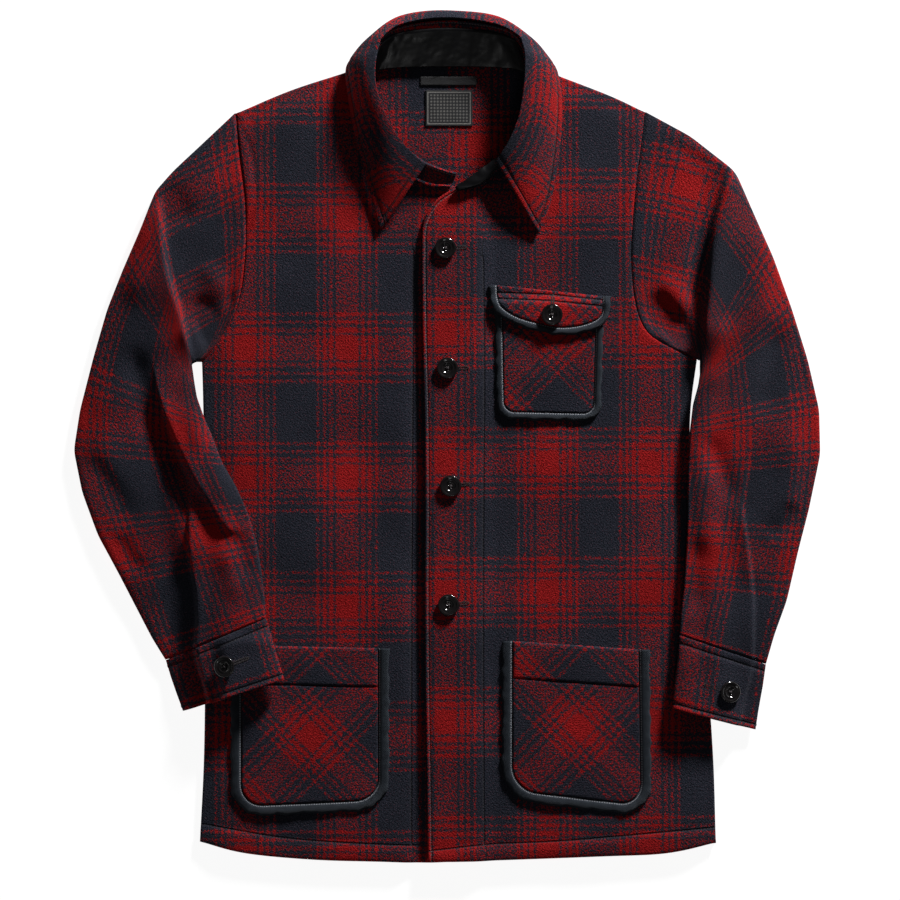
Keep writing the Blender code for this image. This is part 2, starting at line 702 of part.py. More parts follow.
def make_buttons(horn):
    """Turned discs with a raised rim, each laid on the cloth that carries it."""
    for name, x, y, carrier in BUTTONS:
        tree = tree_of(carrier)
        reach = BUTTON_RADIUS
        slope_x = (height_over(tree, x + reach, y) - height_over(tree, x - reach, y)) / (2 * reach)
        slope_y = (height_over(tree, x, y + reach) - height_over(tree, x, y - reach)) / (2 * reach)
        highest = 0.0
        for ring in (0.0, 0.5, 0.75, 1.0):
            for turn in range(12):
                dx = ring * reach * math.cos(math.pi * turn / 6)
                dy = ring * reach * math.sin(math.pi * turn / 6)
                plane = slope_x * dx + slope_y * dy
                highest = max(highest, height_over(tree, x + dx, y + dy) - plane)
        made = add_object(name, [(r, 0, z) for r, z in BUTTON_SECTION], [], horn)
        made.data.edges.add(len(BUTTON_SECTION) - 1)
        for index, edge in enumerate(made.data.edges):
            edge.vertices = (index, index + 1)
        turned = made.modifiers.new("turned", "SCREW")
        turned.steps = BUTTON_STEPS
        turned.render_steps = BUTTON_STEPS
        turned.use_merge_vertices = True
        turned.merge_threshold = 0.00005
        turned.use_normal_calculate = True
        made.location = Vector((x, y, highest + GAP)) * MM
        up = Vector((-slope_x, -slope_y, 1.0)).normalized()
        made.rotation_mode = "QUATERNION"
        made.rotation_quaternion = Vector((0, 0, 1)).rotation_difference(up)


def make_labels(look):
    for name, left, bottom, right, top in LABELS:
        low = WALL + GAP
        grid = [[(left, bottom, low), (right, bottom, low)], [(left, top, low), (right, top, low)]]
        add_sheet(name, grid, LABEL_WALL, look)


def build():
    for old in list(bpy.data.objects):
        bpy.data.objects.remove(old)
    bpy.context.scene.collection.children.link(bpy.data.collections.new("wool_jacket"))
    wool = material("wool_red", WOOL_RED)
    dark = material("wool_dark", WOOL_DARK)
    twill = material("twill_tape", TWILL)
    make_back(wool)
    make_fronts(wool)
    make_sleeves(wool)
    glossy = material("glossy_lining", GLOSSY_LINING)
    make_stand(dark, glossy)
    make_leaf(wool)
    make_hip_pockets(wool, dark, twill)
    make_chest_pocket(wool, twill)
    make_buttons(material("horn", HORN))
    make_labels(material("label_cloth", LABEL_CLOTH))
    for made in bpy.data.collections["wool_jacket"].objects:
        made.location -= Vector((*MIDDLE, 0.0)) * MM


build()
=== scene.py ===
# %% [markdown]
# # A plaid wool jacket, laid flat
#
# The jacket lies on its back, buttoned, with its sleeves beside it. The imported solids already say
# where every piece is and how big it is. This script gives each piece its real look: cloth that
# rolls at its edges, creased sleeves, a napped shadow plaid, bound pockets and turned buttons.
#
# +X is to the wearer's left, +Y to the collar and +Z up, off the surface that it lies on. Tables
# are in millimetres, as on a cutting pattern, and become metres when a mesh is made.

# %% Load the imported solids
import math

import bmesh
import bpy
import numpy as np
from mathutils import Matrix, Vector
from mathutils.bvhtree import BVHTree


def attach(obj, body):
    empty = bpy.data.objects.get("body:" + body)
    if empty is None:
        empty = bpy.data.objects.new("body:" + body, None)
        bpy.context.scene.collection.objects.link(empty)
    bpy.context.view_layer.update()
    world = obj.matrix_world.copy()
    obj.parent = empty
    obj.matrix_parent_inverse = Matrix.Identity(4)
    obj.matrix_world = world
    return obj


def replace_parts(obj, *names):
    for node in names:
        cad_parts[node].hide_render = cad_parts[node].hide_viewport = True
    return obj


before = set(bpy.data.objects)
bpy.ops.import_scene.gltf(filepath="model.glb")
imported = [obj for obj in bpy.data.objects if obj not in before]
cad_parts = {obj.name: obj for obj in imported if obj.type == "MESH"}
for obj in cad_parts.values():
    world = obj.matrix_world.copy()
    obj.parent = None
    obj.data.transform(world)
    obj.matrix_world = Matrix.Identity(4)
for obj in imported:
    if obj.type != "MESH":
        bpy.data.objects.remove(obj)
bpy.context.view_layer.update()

print("solids:", len(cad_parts))

# %% [markdown]
# ## The pattern
#
# A pattern cutter draws each piece by its edges. The same is done here: short tables give the
# corners of every edge, and a smooth curve goes through them. Sides run from the hem up, and
# armholes from the underarm to the shoulder.

# %% Outlines of the body
MM = 0.001
MIDDLE = np.array([-0.5, 0.77, 0.0])
WALL = 2.5
GAP = 0.3
CELL = 3.6

SIDE_RIGHT = [(-238, -388), (-234, -300), (-233, -175), (-234, -21), (-235, 36), (-236, 73)]
SIDE_LEFT = [(258, -389), (255, -300), (246, -175), (236, -60), (233, -10), (234, 31), (240, 77)]
ARMHOLE_RIGHT = [(-236, 73), (-223, 89), (-209, 111), (-199, 138), (-194, 180), (-194, 226),
                 (-199, 270), (-203, 312)]
ARMHOLE_LEFT = [(240, 77), (216, 86), (192, 102), (181, 128), (177, 166), (178, 204), (182, 251),
                (190, 313)]
SHOULDER_RIGHT = [(-203, 312), (-151, 334), (-96, 352)]
SHOULDER_LEFT = [(102, 350), (156, 329), (190, 313)]
NECK_RIGHT = [(25, 228), (14, 240), (-7, 244), (-31, 252), (-53, 267), (-71, 289), (-82, 317),
              (-92, 340), (-96, 352)]
NECK_LEFT = [(7, 240), (27, 254), (46, 267), (62, 280), (78, 299), (89, 321), (96, 338), (102, 350)]
NECK_BACK = [(-96, 352), (-78, 358), (-40, 360), (0, 360.4), (50, 359.6), (85, 357), (102, 350)]
FRONT_EDGE_RIGHT = [(25, -406), (25, -90), (25, 228)]
FRONT_EDGE_LEFT = [(-19, -407), (-20, -348), (-22, -194), (-22, -10), (-24, 93), (-25, 176),
                   (-23, 207), (-11, 228), (7, 240)]
HEM_RIGHT = [(-238, -388), (-193, -399), (-129, -405), (-65, -407), (-22, -408), (25, -406)]
HEM_LEFT = [(-19, -407), (37, -406), (146, -402), (209, -399), (258, -389)]
HEM_BACK = [(-238, -388), (-193, -399), (-129, -405), (0, -407), (146, -402), (209, -399),
            (258, -389)]

# %% [markdown]
# A sleeve that lies flat is a tube with two edges. Each row below is one ring of it: the outer
# and the inner edge, how far it follows the armhole, where a lengthwise fold crosses it, how high
# the cloth on the outer side of the fold stands, and how thick the tube is near each edge.

# %% Rings of the sleeves and cuffs
#   outer_x, outer_y, inner_x, inner_y, armhole, fold, hold, step, thick_outer, thick_inner
SLEEVE_RIGHT = [
    (-204.5, 312, -236, 73, 1.00, 0.50, 0, 0, 8.6, 8.6),
    (-233, 285, -238, 73, 0.70, 0.50, 0, 0, 11, 10),
    (-264, 256, -241, 73, 0.25, 0.50, 0, 0, 12, 14),
    (-276, 242, -243, 72, 0.05, 0.50, 0, 0, 13, 17),
    (-280, 238, -245.5, 71, 0.00, 0.50, 0, 0, 16, 18),
    (-295, 200, -244, 62, 0.00, 0.50, 0, 0, 15, 18),
    (-312, 161, -242.5, 53, 0.00, 0.50, 0, 0, 13, 18),
    (-327, 123, -240, 39, 0.00, 0.50, 0, 0, 12, 18),
    (-340, 78, -234, 22, 0.00, 0.58, 1, -3, 11, 18),
    (-353, 27, -225, 1, 0.00, 0.64, 1, -6, 11, 17),
    (-359, -12, -216, -23, 0.00, 0.70, 1, -7, 11, 16),
    (-351, -52, -202, -47, 0.00, 0.70, 1, -5, 11, 16),
    (-336, -93, -190, -74, 0.00, 0.60, 1, -3, 11, 16),
    (-316, -130, -182, -103, 0.00, 0.51, 1, -5, 11, 15),
    (-299, -163, -177, -134, 0.00, 0.47, 1, -7, 10, 15),
    (-284, -192, -175, -156, 0.00, 0.40, 1, -8, 10, 15),
    (-271, -213, -174, -172, 0.00, 0.29, 1, -8, 10, 15),
]
SLEEVE_LEFT = [
    (191, 313, 240, 77, 1.00, 0.50, 0, 0, 8.6, 8.6),
    (233, 290, 242, 77, 0.75, 0.50, 0, 0, 12, 10),
    (266, 264, 242, 76, 0.42, 0.50, 0, 0, 14, 14),
    (273, 259, 242, 75, 0.35, 0.50, 0, 0, 14, 17),
    (278, 252, 243, 74, 0.30, 0.50, 0, 0, 17, 19),
    (295, 213, 242, 68, 0.18, 0.50, 0, 0, 16, 19),
    (313, 173, 242, 61, 0.08, 0.50, 0, 0, 14, 19),
    (331, 123, 240, 50, 0.00, 0.50, 0, 0, 13, 19),
    (346, 75, 235, 32, 0.00, 0.50, 0, 0, 12, 19),
    (357, 27, 232, 6, 0.00, 0.50, 0, 0, 12, 18),
    (358, -16, 230, -29, 0.00, 0.54, 1, -1, 12, 17),
    (347, -69, 230, -64, 0.00, 0.55, 1, -3, 12, 16),
    (337, -108, 229, -103, 0.00, 0.45, 1, -5, 11, 16),
    (326, -156, 226, -146, 0.00, 0.32, 1, -6, 11, 15),
    (314, -189, 223, -170, 0.00, 0.22, 1, -6, 11, 15),
    (306, -217, 222, -188, 0.00, 0.14, 1, -6, 10, 15),
]
CUFF_RIGHT = [
    (-270.7, -213.6, -173.7, -172.6, 0, 0.29, 1, -8, 11, 16),
    (-266, -229, -168, -190, 0, 0.28, 1, -8, 11, 16),
    (-260, -246, -162, -211, 0, 0.27, 1, -8, 11, 16),
    (-254, -262, -156, -231, 0, 0.25, 1, -8, 11, 16),
]
CUFF_LEFT = [
    (305.9, -217.6, 221.9, -188.6, 0, 0.14, 1, -6, 11, 16),
    (303, -238, 220, -212, 0, 0.16, 1, -6, 11, 16),
    (299, -260, 217, -236, 0, 0.18, 1, -6, 11, 16),
    (296, -280, 215, -259, 0, 0.19, 1, -6, 11, 16),
]

# %% Rows of the collar
# The stand, from its right end round the back: seam x, y, z and top x, y, z
STAND = [
    (6, 246, 9.5, 9, 254, 16.5), (-12, 245, 9.5, -6, 258, 18.0), (-31, 252, 9.5, -26, 267, 20.7),
    (-53, 267, 9.5, -47, 286, 24.3), (-71, 289, 9.5, -60, 310, 26.6),
    (-82, 317, 9.5, -68, 336, 27.6), (-84, 340, 8.5, -68, 361, 27), (-71, 352, 6.5, -61, 383, 24.1),
    (-48, 356, 6.2, -42, 394, 21.4), (0, 357, 6.2, 0, 399, 20.5), (50, 356, 6.2, 45, 394, 21.4),
    (73, 352, 6.5, 66, 383, 24.6), (89, 340, 8.5, 73, 361, 27.5), (90, 317, 9.5, 72, 336, 27.7),
    (78, 299, 9.5, 68, 307, 27), (62, 280, 10.5, 58, 282, 25.6), (46, 267, 13.5, 49, 260, 21.6),
    (27, 254, 16.5, 35, 243, 17.5), (7, 240, 16.5, 10, 236, 17.0),
]
# The leaf, from its right front edge round the back: the roll, the bend and the free edge
LEAF = [
    (-21, 261, 26, -41, 230, 22, -64, 200, 13), (-37, 275, 29, -54, 255, 26, -73, 231, 13),
    (-48, 288, 31, -64, 276, 29, -81, 260, 13), (-59, 308, 33, -73, 300, 31, -89, 291, 13),
    (-68, 334, 34, -82, 329, 32, -95, 323, 13), (-69, 361, 33, -89, 358, 30, -98, 349, 10.5),
    (-66, 374, 31, -92, 373, 22, -94, 361, 3.5), (-61, 384, 29, -86, 390, 16, -76, 362, 0.4),
    (-42, 396, 25, -50, 422, 9, -44, 366, 0.4), (0, 402, 23, 0, 428, 8, 0, 366, 0.4),
    (45, 396, 25, 53, 421, 9, 48, 366, 0.4), (67, 385, 29, 91, 388, 16, 83, 362, 0.4),
    (72, 375, 31, 98, 371, 22, 101, 359, 3.5), (74, 363, 33, 97, 359, 30, 107, 346, 10.5),
    (73, 336, 34, 90, 331, 32, 110, 321, 13), (68, 307, 33, 86, 300, 31, 109, 289, 13),
    (59, 284, 31, 79, 273, 29, 104, 251, 13), (52, 273, 29, 73, 251, 26, 97, 219, 13),
    (46, 264, 26, 66, 233, 22, 87, 195, 13),
]

# %% Pockets, flap, buttons and labels
HIP_POCKET_RIGHT = [(-208, -364), (-56, -357), (-56, -202), (-208, -199)]
HIP_POCKET_LEFT = [(52, -347), (196, -364), (194, -203), (52, -195)]
CHEST_POCKET = [(47, 18), (147, 16), (150, 127), (45, 130)]
HIP_CORNER = 32.0
CHEST_CORNER = 17.0
HIP_BINDING = 10.5
CHEST_BINDING = 7.4
HIP_BAND_SHARE = 0.085
FLAP_EDGE = [(40, 146), (41, 132), (47, 120), (64, 109), (88, 102), (109, 98.5), (131, 101),
             (148, 108), (155.5, 119), (156, 136)]
FLAP_LIFT = 4.3
FLAP_SEAM_Y = 139.0
FLAP_RISE = 11.0
BUTTONS = [
    ("button_1", -2, 182, "front_left"),
    ("button_2", 0, 67, "front_left"),
    ("button_3", 3, -46, "front_left"),
    ("button_4", 1, -160, "front_left"),
    ("button_flap", 100, 118, "flap"),
    ("button_cuff_right", -212, -218, "cuff_right"),
    ("button_cuff_left", 270, -243, "cuff_left"),
]
LABELS = [
    ("label_tape", -26, 339, 28, 347.5),
    ("label_patch", -21, 300, 24, 334.5),
]

# %% [markdown]
# ## Curves and sheets
#
# Every cloth piece starts as a grid of points. A smooth curve through a table gives each edge, a
# patch between four edges gives the grid, and a second grid under the first gives the thickness.

# %% Smooth curves
def through(points, places):
    """Points of a smooth curve, at places counted in table rows."""
    table = np.asarray(points, float)
    padded = np.vstack([2 * table[0] - table[1], table, 2 * table[-1] - table[-2]])
    index = np.clip(np.asarray(places).astype(int), 0, len(table) - 2)
    t = (np.asarray(places) - index)[:, None]
    a, b, c, d = (padded[index + k] for k in range(4))
    return b + 0.5 * t * ((c - a) + t * ((2 * a - 5 * b + 4 * c - d) + t * (3 * b - 3 * c + d - a)))


def by_length(line, shares):
    """Points at shares of the length of a finely drawn line."""
    steps = np.linalg.norm(np.diff(line, axis=0), axis=1)
    lengths = np.concatenate([[0], np.cumsum(steps)])
    wanted = np.asarray(shares) * lengths[-1]
    return np.stack([np.interp(wanted, lengths, line[:, k]) for k in range(line.shape[1])], axis=1)


def drawn(*tables):
    """One finely drawn line through several tables, which meet in corners."""
    parts = [through(table, np.linspace(0, len(table) - 1, 20 * len(table))) for table in tables]
    return np.vstack([parts[0]] + [part[1:] for part in parts[1:]])


def smooth_step(value):
    held = np.clip(value, 0.0, 1.0)
    return held * held * (3 - 2 * held)


def length_of(line):
    return float(np.linalg.norm(np.diff(line, axis=0), axis=1).sum())


def edged_shares(length, cell=CELL):
    """Shares along a length, with a few narrow cells at both ends, where cloth rolls over."""
    count = max(int(length / cell), 8)
    inner = np.linspace(4.0 / length, 1 - 4.0 / length, count)
    rim = np.array([0.0, 0.5, 1.3, 2.4]) / length
    return np.concatenate([rim, inner, 1 - rim[::-1]])


def patch(bottom, right, top, left, cell=CELL):
    """A grid between four drawn edges. Bottom and top run to the right, the sides run up."""
    u = edged_shares((length_of(bottom) + length_of(top)) / 2, cell)
    v = edged_shares((length_of(left) + length_of(right)) / 2, cell)
    low, high = by_length(bottom, u), by_length(top, u)
    near, far = by_length(left, v), by_length(right, v)
    uu, vv = u[None, :, None], v[:, None, None]
    across = near[:, None] * (1 - uu) + far[:, None] * uu
    up = low[None] * (1 - vv) + high[None] * vv
    corners = ((low[0] * (1 - uu) + low[-1] * uu) * (1 - vv)
               + (high[0] * (1 - uu) + high[-1] * uu) * vv)
    return across + up - corners


def line_distance(points, line, spacing=6.0):
    """Signed distance to a drawn line, above 0 on its left, and the run along it."""
    count = max(int(length_of(line) / spacing), 2)
    nodes = by_length(np.asarray(line, float)[:, :2], np.linspace(0, 1, count + 1))
    flat = points.reshape(-1, points.shape[-1])[:, :2]
    best = np.full(len(flat), 1e9)
    sign = np.ones(len(flat))
    run = np.zeros(len(flat))
    travelled = 0.0
    for a, b in zip(nodes, nodes[1:]):
        edge = b - a
        size = np.linalg.norm(edge)
        t = np.clip(((flat - a) @ edge) / size ** 2, 0, 1)
        offset = flat - a - t[:, None] * edge
        distance = np.linalg.norm(offset, axis=1)
        side = edge[0] * offset[:, 1] - edge[1] * offset[:, 0]
        nearer = distance < best
        best[nearer] = distance[nearer]
        sign[nearer] = np.where(side[nearer] >= 0, 1, -1)
        run[nearer] = travelled + t[nearer] * size
        travelled += size
    shape = points.shape[:-1]
    return (best * sign).reshape(shape), run.reshape(shape)


def ripple(points, size, seed):
    """Soft uneven waves between about -1 and 1, with humps of a given size."""
    wave = np.zeros(points.shape[:-1])
    chance = np.random.default_rng(seed)
    for _ in range(7):
        angle, phase = chance.uniform(0, math.tau, 2)
        pitch = size * chance.uniform(0.7, 1.6)
        way = points[..., 0] * math.cos(angle) + points[..., 1] * math.sin(angle)
        wave += np.sin(way * math.tau / (2 * pitch) + phase)
    return wave / 3.2


print("cloth cell:", CELL, "mm")

# %% [markdown]
# ## How the jacket lies
#
# The back lies flat. The fronts come down to it at the side and shoulder seams and stand a little
# off it elsewhere. The left front lies on the right one at the button stand.

# %% Heights of the fronts
BODY_AIR = 3.2
SIDE_ROLL = 16.0
SHOULDER_ROLL = 14.0
UNDERARM_Y = 73.0
UNDERARM_FADE = 30.0
OVERLAP_X = 25.0
OVERLAP_LIFT = 4.2
OVERLAP_FALL = 20.0
SIDE_RAMP = 34.0
POCKET_COVER = 4.6
POCKET_RAMP = 14.0


def line_at(table, values, by, give):
    ordered = np.array(sorted(table, key=lambda point: point[by]), float)
    return np.interp(values, ordered[:, by], ordered[:, give])


def side_depth(x, y):
    return np.minimum(x - line_at(SIDE_RIGHT, y, 1, 0), line_at(SIDE_LEFT, y, 1, 0) - x)


def body_rise(x, y):
    """Height of the underside of the fronts."""
    side = 1 - np.exp(-(np.maximum(side_depth(x, y), 0) / SIDE_ROLL) ** 2)
    fade = smooth_step((y - UNDERARM_Y) / UNDERARM_FADE)
    side = side + (1 - side) * fade
    depth = np.maximum(line_at(SHOULDER_RIGHT + SHOULDER_LEFT, x, 0, 1) - y, 0)
    return WALL + GAP + BODY_AIR * side * (1 - np.exp(-(depth / SHOULDER_ROLL) ** 2))


def overlap_lift(x):
    return OVERLAP_LIFT * (1 - smooth_step((x - OVERLAP_X - 2) / OVERLAP_FALL))


def box_distance(x, y, corners):
    low, high = np.min(corners, axis=0), np.max(corners, axis=0)
    return np.hypot(np.maximum(np.maximum(low[0] - x, x - high[0]), 0),
                    np.maximum(np.maximum(low[1] - y, y - high[1]), 0))


def ground(x, y):
    """Height of what a sleeve lies on."""
    depth = side_depth(x, y)
    beside = (2 * WALL + GAP + 0.5) * (1 - smooth_step((-depth - 1.5) / SIDE_RAMP))
    height = np.where(depth > 0, body_rise(x, y) + WALL + 0.5, beside)
    for corners in (HIP_POCKET_RIGHT, HIP_POCKET_LEFT):
        near = 1 - smooth_step((box_distance(x, y, corners) - 2) / POCKET_RAMP)
        height = height + POCKET_COVER * near
    return height * smooth_step((UNDERARM_Y - y) / UNDERARM_FADE)


print("fronts stand", round(float(body_rise(np.array(0.0), np.array(0.0))), 1), "mm up")

# %% [markdown]
# ## From grid to cloth
#
# A piece of cloth has two faces and a rim. Its thickness falls off in the last two millimetres, so
# that cut and turned edges look soft. Three things are kept on the points for the materials: where
# the point was on the straight grain of the uncut cloth, and how far it is from up to three sewn
# lines. A material can then draw plaid and seams that follow the cloth however it lies.

# %% Make a cloth piece
ROLL_EDGE = 2.2
FAR = 1.0
LINE_NAMES = ("line_a", "line_b", "line_c")
pieces = {}


def rolled_edge(distance, radius=ROLL_EDGE):
    """1 inside the cloth, falling off like a quarter circle at its edge."""
    inside = np.clip(distance / radius, 0, 1)
    return 0.25 + 0.75 * np.sqrt(1 - (1 - inside) ** 2)


def grid_normals(grid, wrap=False):
    if wrap:
        across = np.roll(grid, -1, axis=1) - np.roll(grid, 1, axis=1)
    else:
        across = np.gradient(grid, axis=1)
    along = np.gradient(grid, axis=0)
    normal = np.cross(across, along)
    size = np.linalg.norm(normal, axis=-1, keepdims=True)
    return normal / np.maximum(size, 1e-9)


def put_lines(mesh, lines, shape):
    """Stores the distance from each sewn line, and the run along it, in metres."""
    count = shape[0] * shape[1]
    for index, name in enumerate(LINE_NAMES):
        data = np.zeros((2 * count, 3), np.float32)
        data[:, 0] = FAR
        if index < len(lines):
            distance, run = lines[index]
            data[:, 0] = np.tile(distance.reshape(-1), 2) * MM
            data[:, 1] = np.tile(run.reshape(-1), 2) * MM
        mesh.attributes.new(name, "FLOAT_VECTOR", "POINT").data.foreach_set("vector", data.ravel())


def cloth(name, top, bottom, grain, lines=(), wrap=False):
    """A closed sheet between two grids of points. grain is each point's place on the cloth."""
    rows, columns = top.shape[:2]
    ids = np.arange(rows * columns).reshape(rows, columns)
    right = np.roll(ids, -1, axis=1) if wrap else ids[:, 1:]
    here = ids if wrap else ids[:, :-1]
    quads = np.stack([here[:-1], right[:-1], right[1:], here[1:]], axis=-1).reshape(-1, 4)
    under = quads[:, ::-1] + rows * columns
    borders = [(ids[0], False), (ids[-1], True)]
    if not wrap:
        borders += [(ids[:, 0], True), (ids[:, -1], False)]
    rims = []
    for border, turned in borders:
        after = np.roll(border, -1) if wrap else border[1:]
        before = border if wrap else border[:-1]
        rim = np.stack([after, before, before + rows * columns, after + rows * columns], axis=-1)
        rims.append(rim[:, ::-1] if turned else rim)
    faces = np.vstack([quads, under] + rims)
    normal = np.cross(top[1:, :-1] - top[:-1, :-1], top[:-1, 1:] - top[:-1, :-1])
    if np.sum(normal * (top - bottom)[:-1, :-1]) > 0:
        faces = faces[:, ::-1]
    points = (np.vstack([top.reshape(-1, 3), bottom.reshape(-1, 3)]) - MIDDLE) * MM
    mesh = bpy.data.meshes.new(name)
    mesh.from_pydata(points.tolist(), [], faces.tolist())
    mesh.shade_smooth()
    grain_map = mesh.uv_layers.new(name="grain")
    corners = np.empty(len(mesh.loops), np.int32)
    mesh.loops.foreach_get("vertex_index", corners)
    places = np.tile(grain.reshape(-1, 2), (2, 1)) * MM
    grain_map.data.foreach_set("uv", places[corners].astype(np.float32).ravel())
    put_lines(mesh, lines, (rows, columns))
    made = bpy.data.objects.new(name, mesh)
    bpy.context.scene.collection.objects.link(made)
    pieces[name] = made
    steps_u = np.linalg.norm(np.diff(top, axis=1), axis=-1)[:-1]
    steps_v = np.linalg.norm(np.diff(top, axis=0), axis=-1)[:, :-1]
    made["one_side"] = float((steps_u * steps_v).sum() * MM * MM)
    print(f"{name}: {len(faces)} faces")
    return made


def on_base(grid, base, thickness, edge):
    """Top and bottom points of cloth that lies on a base. edge is the distance from its edges."""
    base = np.broadcast_to(base, edge.shape)
    height = thickness * rolled_edge(edge)
    return np.dstack([grid, base + height]), np.dstack([grid, base])


def turned(grid, degrees, origin=(0, 0)):
    """The cloth's own grain where it is cut at an angle."""
    angle = math.radians(degrees)
    x, y = grid[..., 0] - origin[0], grid[..., 1] - origin[1]
    return np.stack([x * math.cos(angle) + y * math.sin(angle),
                     y * math.cos(angle) - x * math.sin(angle)], axis=-1)


def surface(name):
    return BVHTree.FromObject(pieces[name], bpy.context.evaluated_depsgraph_get())


def height_over(tree, x, y):
    """Height of a surface at a point in millimetres, or 0 beside it."""
    start = (Vector((x, y, 1000)) - Vector(MIDDLE)) * MM
    hit = tree.ray_cast(start, Vector((0, 0, -1)))[0]
    return hit.z / MM if hit else 0.0


# %% [markdown]
# ## Back and fronts
#
# The hem is turned up, so the cloth is double below a ridge. A row of stitches runs down the left
# front beside its edge and another where the facing is sewn on behind. Beside each armhole the
# seam allowance makes a raised welt. Between them the wool has soft uneven waves.

# %% Shared relief of the body
HEM_RIDGE_RIGHT = [(-233, -373), (-145, -387), (-34, -393), (25, -393)]
HEM_RIDGE_LEFT = [(-19, -398), (37, -392), (117, -388), (256, -376)]
WELT_RIGHT = [(-202, 307), (-189, 276), (-185, 243), (-186, 223), (-193, 196)]
WELT_LEFT = [(192, 306), (188, 228), (187, 167), (190, 135)]
FACING_LINE = [(34, 172), (35, 60), (34, -100), (34, -250), (35, -391)]
STAND_LINE = [(-35, -391), (-35, -194), (-34, 0), (-33, 180)]
WAVE_HEIGHT = 0.8
HEM_DOUBLE = 1.3
HEM_GROOVE = 0.9
HEM_STITCH = 1.5
WELT_RISE = 0.8
WELT_HALF = 5.0
WELT_FADE = 30.0


def hem_relief(grid, ridge):
    """The turned hem: double cloth below a stitched groove."""
    line = drawn(ridge)
    above = grid[..., 1] - np.interp(grid[..., 0], line[:, 0], line[:, 1])
    uneven = 1 + 0.3 * np.sin(grid[..., 0] / 9 + 2 * np.sin(grid[..., 0] / 31))
    double = HEM_DOUBLE * (1 - smooth_step((above + HEM_STITCH) / 3))
    pressed = HEM_GROOVE * uneven * np.exp(-((above - HEM_STITCH) / 2.0) ** 2)
    return double - pressed, above - HEM_STITCH


def groove(distance, depth=0.5, width=1.6):
    return -depth * np.exp(-(distance / width) ** 2)


def waves(grid, seed):
    calm = smooth_step(side_depth(grid[..., 0], grid[..., 1]) / 30)
    return WAVE_HEIGHT * ripple(grid, 55, seed) * calm


def front_relief(grid, armhole, welt_line, welt_from, ridge, seed):
    """Hem, waves and the welt beside the armhole, and the distance from the hem's stitches."""
    hem, hem_line = hem_relief(grid, ridge)
    welt = line_distance(grid, drawn(welt_line))[0]
    beside_armhole = np.abs(line_distance(grid, drawn(armhole))[0])
    raised = WELT_RISE * np.exp(-((beside_armhole - WELT_HALF) / WELT_HALF) ** 2)
    raised = raised * smooth_step((grid[..., 1] - welt_from) / WELT_FADE)
    return hem + raised + waves(grid, seed) + groove(welt, 1.0, 2.2), hem_line


def inside_of(grid, *tables):
    """Distance of each point from an outline that goes through several tables."""
    return np.abs(line_distance(grid, drawn(*tables))[0])


# %% Back
grid = patch(drawn(HEM_BACK), drawn(SIDE_LEFT, ARMHOLE_LEFT),
             drawn(SHOULDER_RIGHT, NECK_BACK, SHOULDER_LEFT), drawn(SIDE_RIGHT, ARMHOLE_RIGHT), 7.0)
edge = inside_of(grid, SIDE_LEFT, ARMHOLE_LEFT, SHOULDER_LEFT[::-1], NECK_BACK[::-1],
                 SHOULDER_RIGHT[::-1], ARMHOLE_RIGHT[::-1], SIDE_RIGHT[::-1], HEM_BACK)
top, bottom = on_base(grid, 0.0, WALL, edge)
cloth("back", top, bottom, grid + np.array([19, 30]))

# %% Right front, the lower one
TROUGH_X = -28.0
TROUGH_DEPTH = 2.4
COVERED_FROM = -30.0
EDGE_CALM = 8.0

grid = patch(drawn(HEM_RIGHT), drawn(FRONT_EDGE_RIGHT, NECK_RIGHT), drawn(SHOULDER_RIGHT),
             drawn(SIDE_RIGHT, ARMHOLE_RIGHT))
edge = inside_of(grid, HEM_RIGHT, FRONT_EDGE_RIGHT, NECK_RIGHT, SHOULDER_RIGHT[::-1],
                 ARMHOLE_RIGHT[::-1], SIDE_RIGHT[::-1])
relief, hem_line = front_relief(grid, ARMHOLE_RIGHT, WELT_RIGHT, 190, HEM_RIDGE_RIGHT, 3)
stand, stand_run = line_distance(grid, drawn(STAND_LINE))
trough = TROUGH_DEPTH * np.exp(-((grid[..., 0] - TROUGH_X) / 8) ** 2)
trough = trough * smooth_step((200 - grid[..., 1]) / 40)
base = body_rise(grid[..., 0], grid[..., 1]) - trough
top, bottom = on_base(grid, base, WALL, edge)
covered = smooth_step((COVERED_FROM - grid[..., 0]) / 12)
top[..., 2] += relief * rolled_edge(edge, EDGE_CALM) * covered
cloth("front_right", top, bottom, grid + np.array([47.5, 100.0]),
      [(stand, stand_run), (hem_line, grid[..., 0])])

# %% Left front, the upper one
PLACKET_LINE = 3.6
PLACKET_RIDGE = 1.8

grid = patch(drawn(HEM_LEFT), drawn(SIDE_LEFT, ARMHOLE_LEFT), drawn(SHOULDER_LEFT),
             drawn(FRONT_EDGE_LEFT, NECK_LEFT))
edge = inside_of(grid, HEM_LEFT, SIDE_LEFT, ARMHOLE_LEFT, SHOULDER_LEFT[::-1], NECK_LEFT[::-1],
                 FRONT_EDGE_LEFT[::-1])
front = inside_of(grid, FRONT_EDGE_LEFT)
relief, hem_line = front_relief(grid, ARMHOLE_LEFT, WELT_LEFT, 110, HEM_RIDGE_LEFT, 8)
facing, facing_run = line_distance(grid, drawn(FACING_LINE))
base = body_rise(grid[..., 0], grid[..., 1]) + overlap_lift(grid[..., 0])
top, bottom = on_base(grid, base, WALL, edge)
pucker = groove(facing, 0.7, 3.0) * (0.8 + 0.4 * np.sin(facing_run / 5.5))
placket_edge = groove(front - PLACKET_LINE, 0.7, 1.3)
placket_edge = placket_edge + 0.35 * np.exp(-((front - PLACKET_RIDGE) / 1.4) ** 2)
top[..., 2] += (relief + pucker) * rolled_edge(edge, EDGE_CALM) + placket_edge
cloth("front_left", top, bottom, grid + np.array([51.0, 86.0]),
      [(hem_line, grid[..., 0]), (facing, facing_run), (front - PLACKET_LINE, grid[..., 1])])

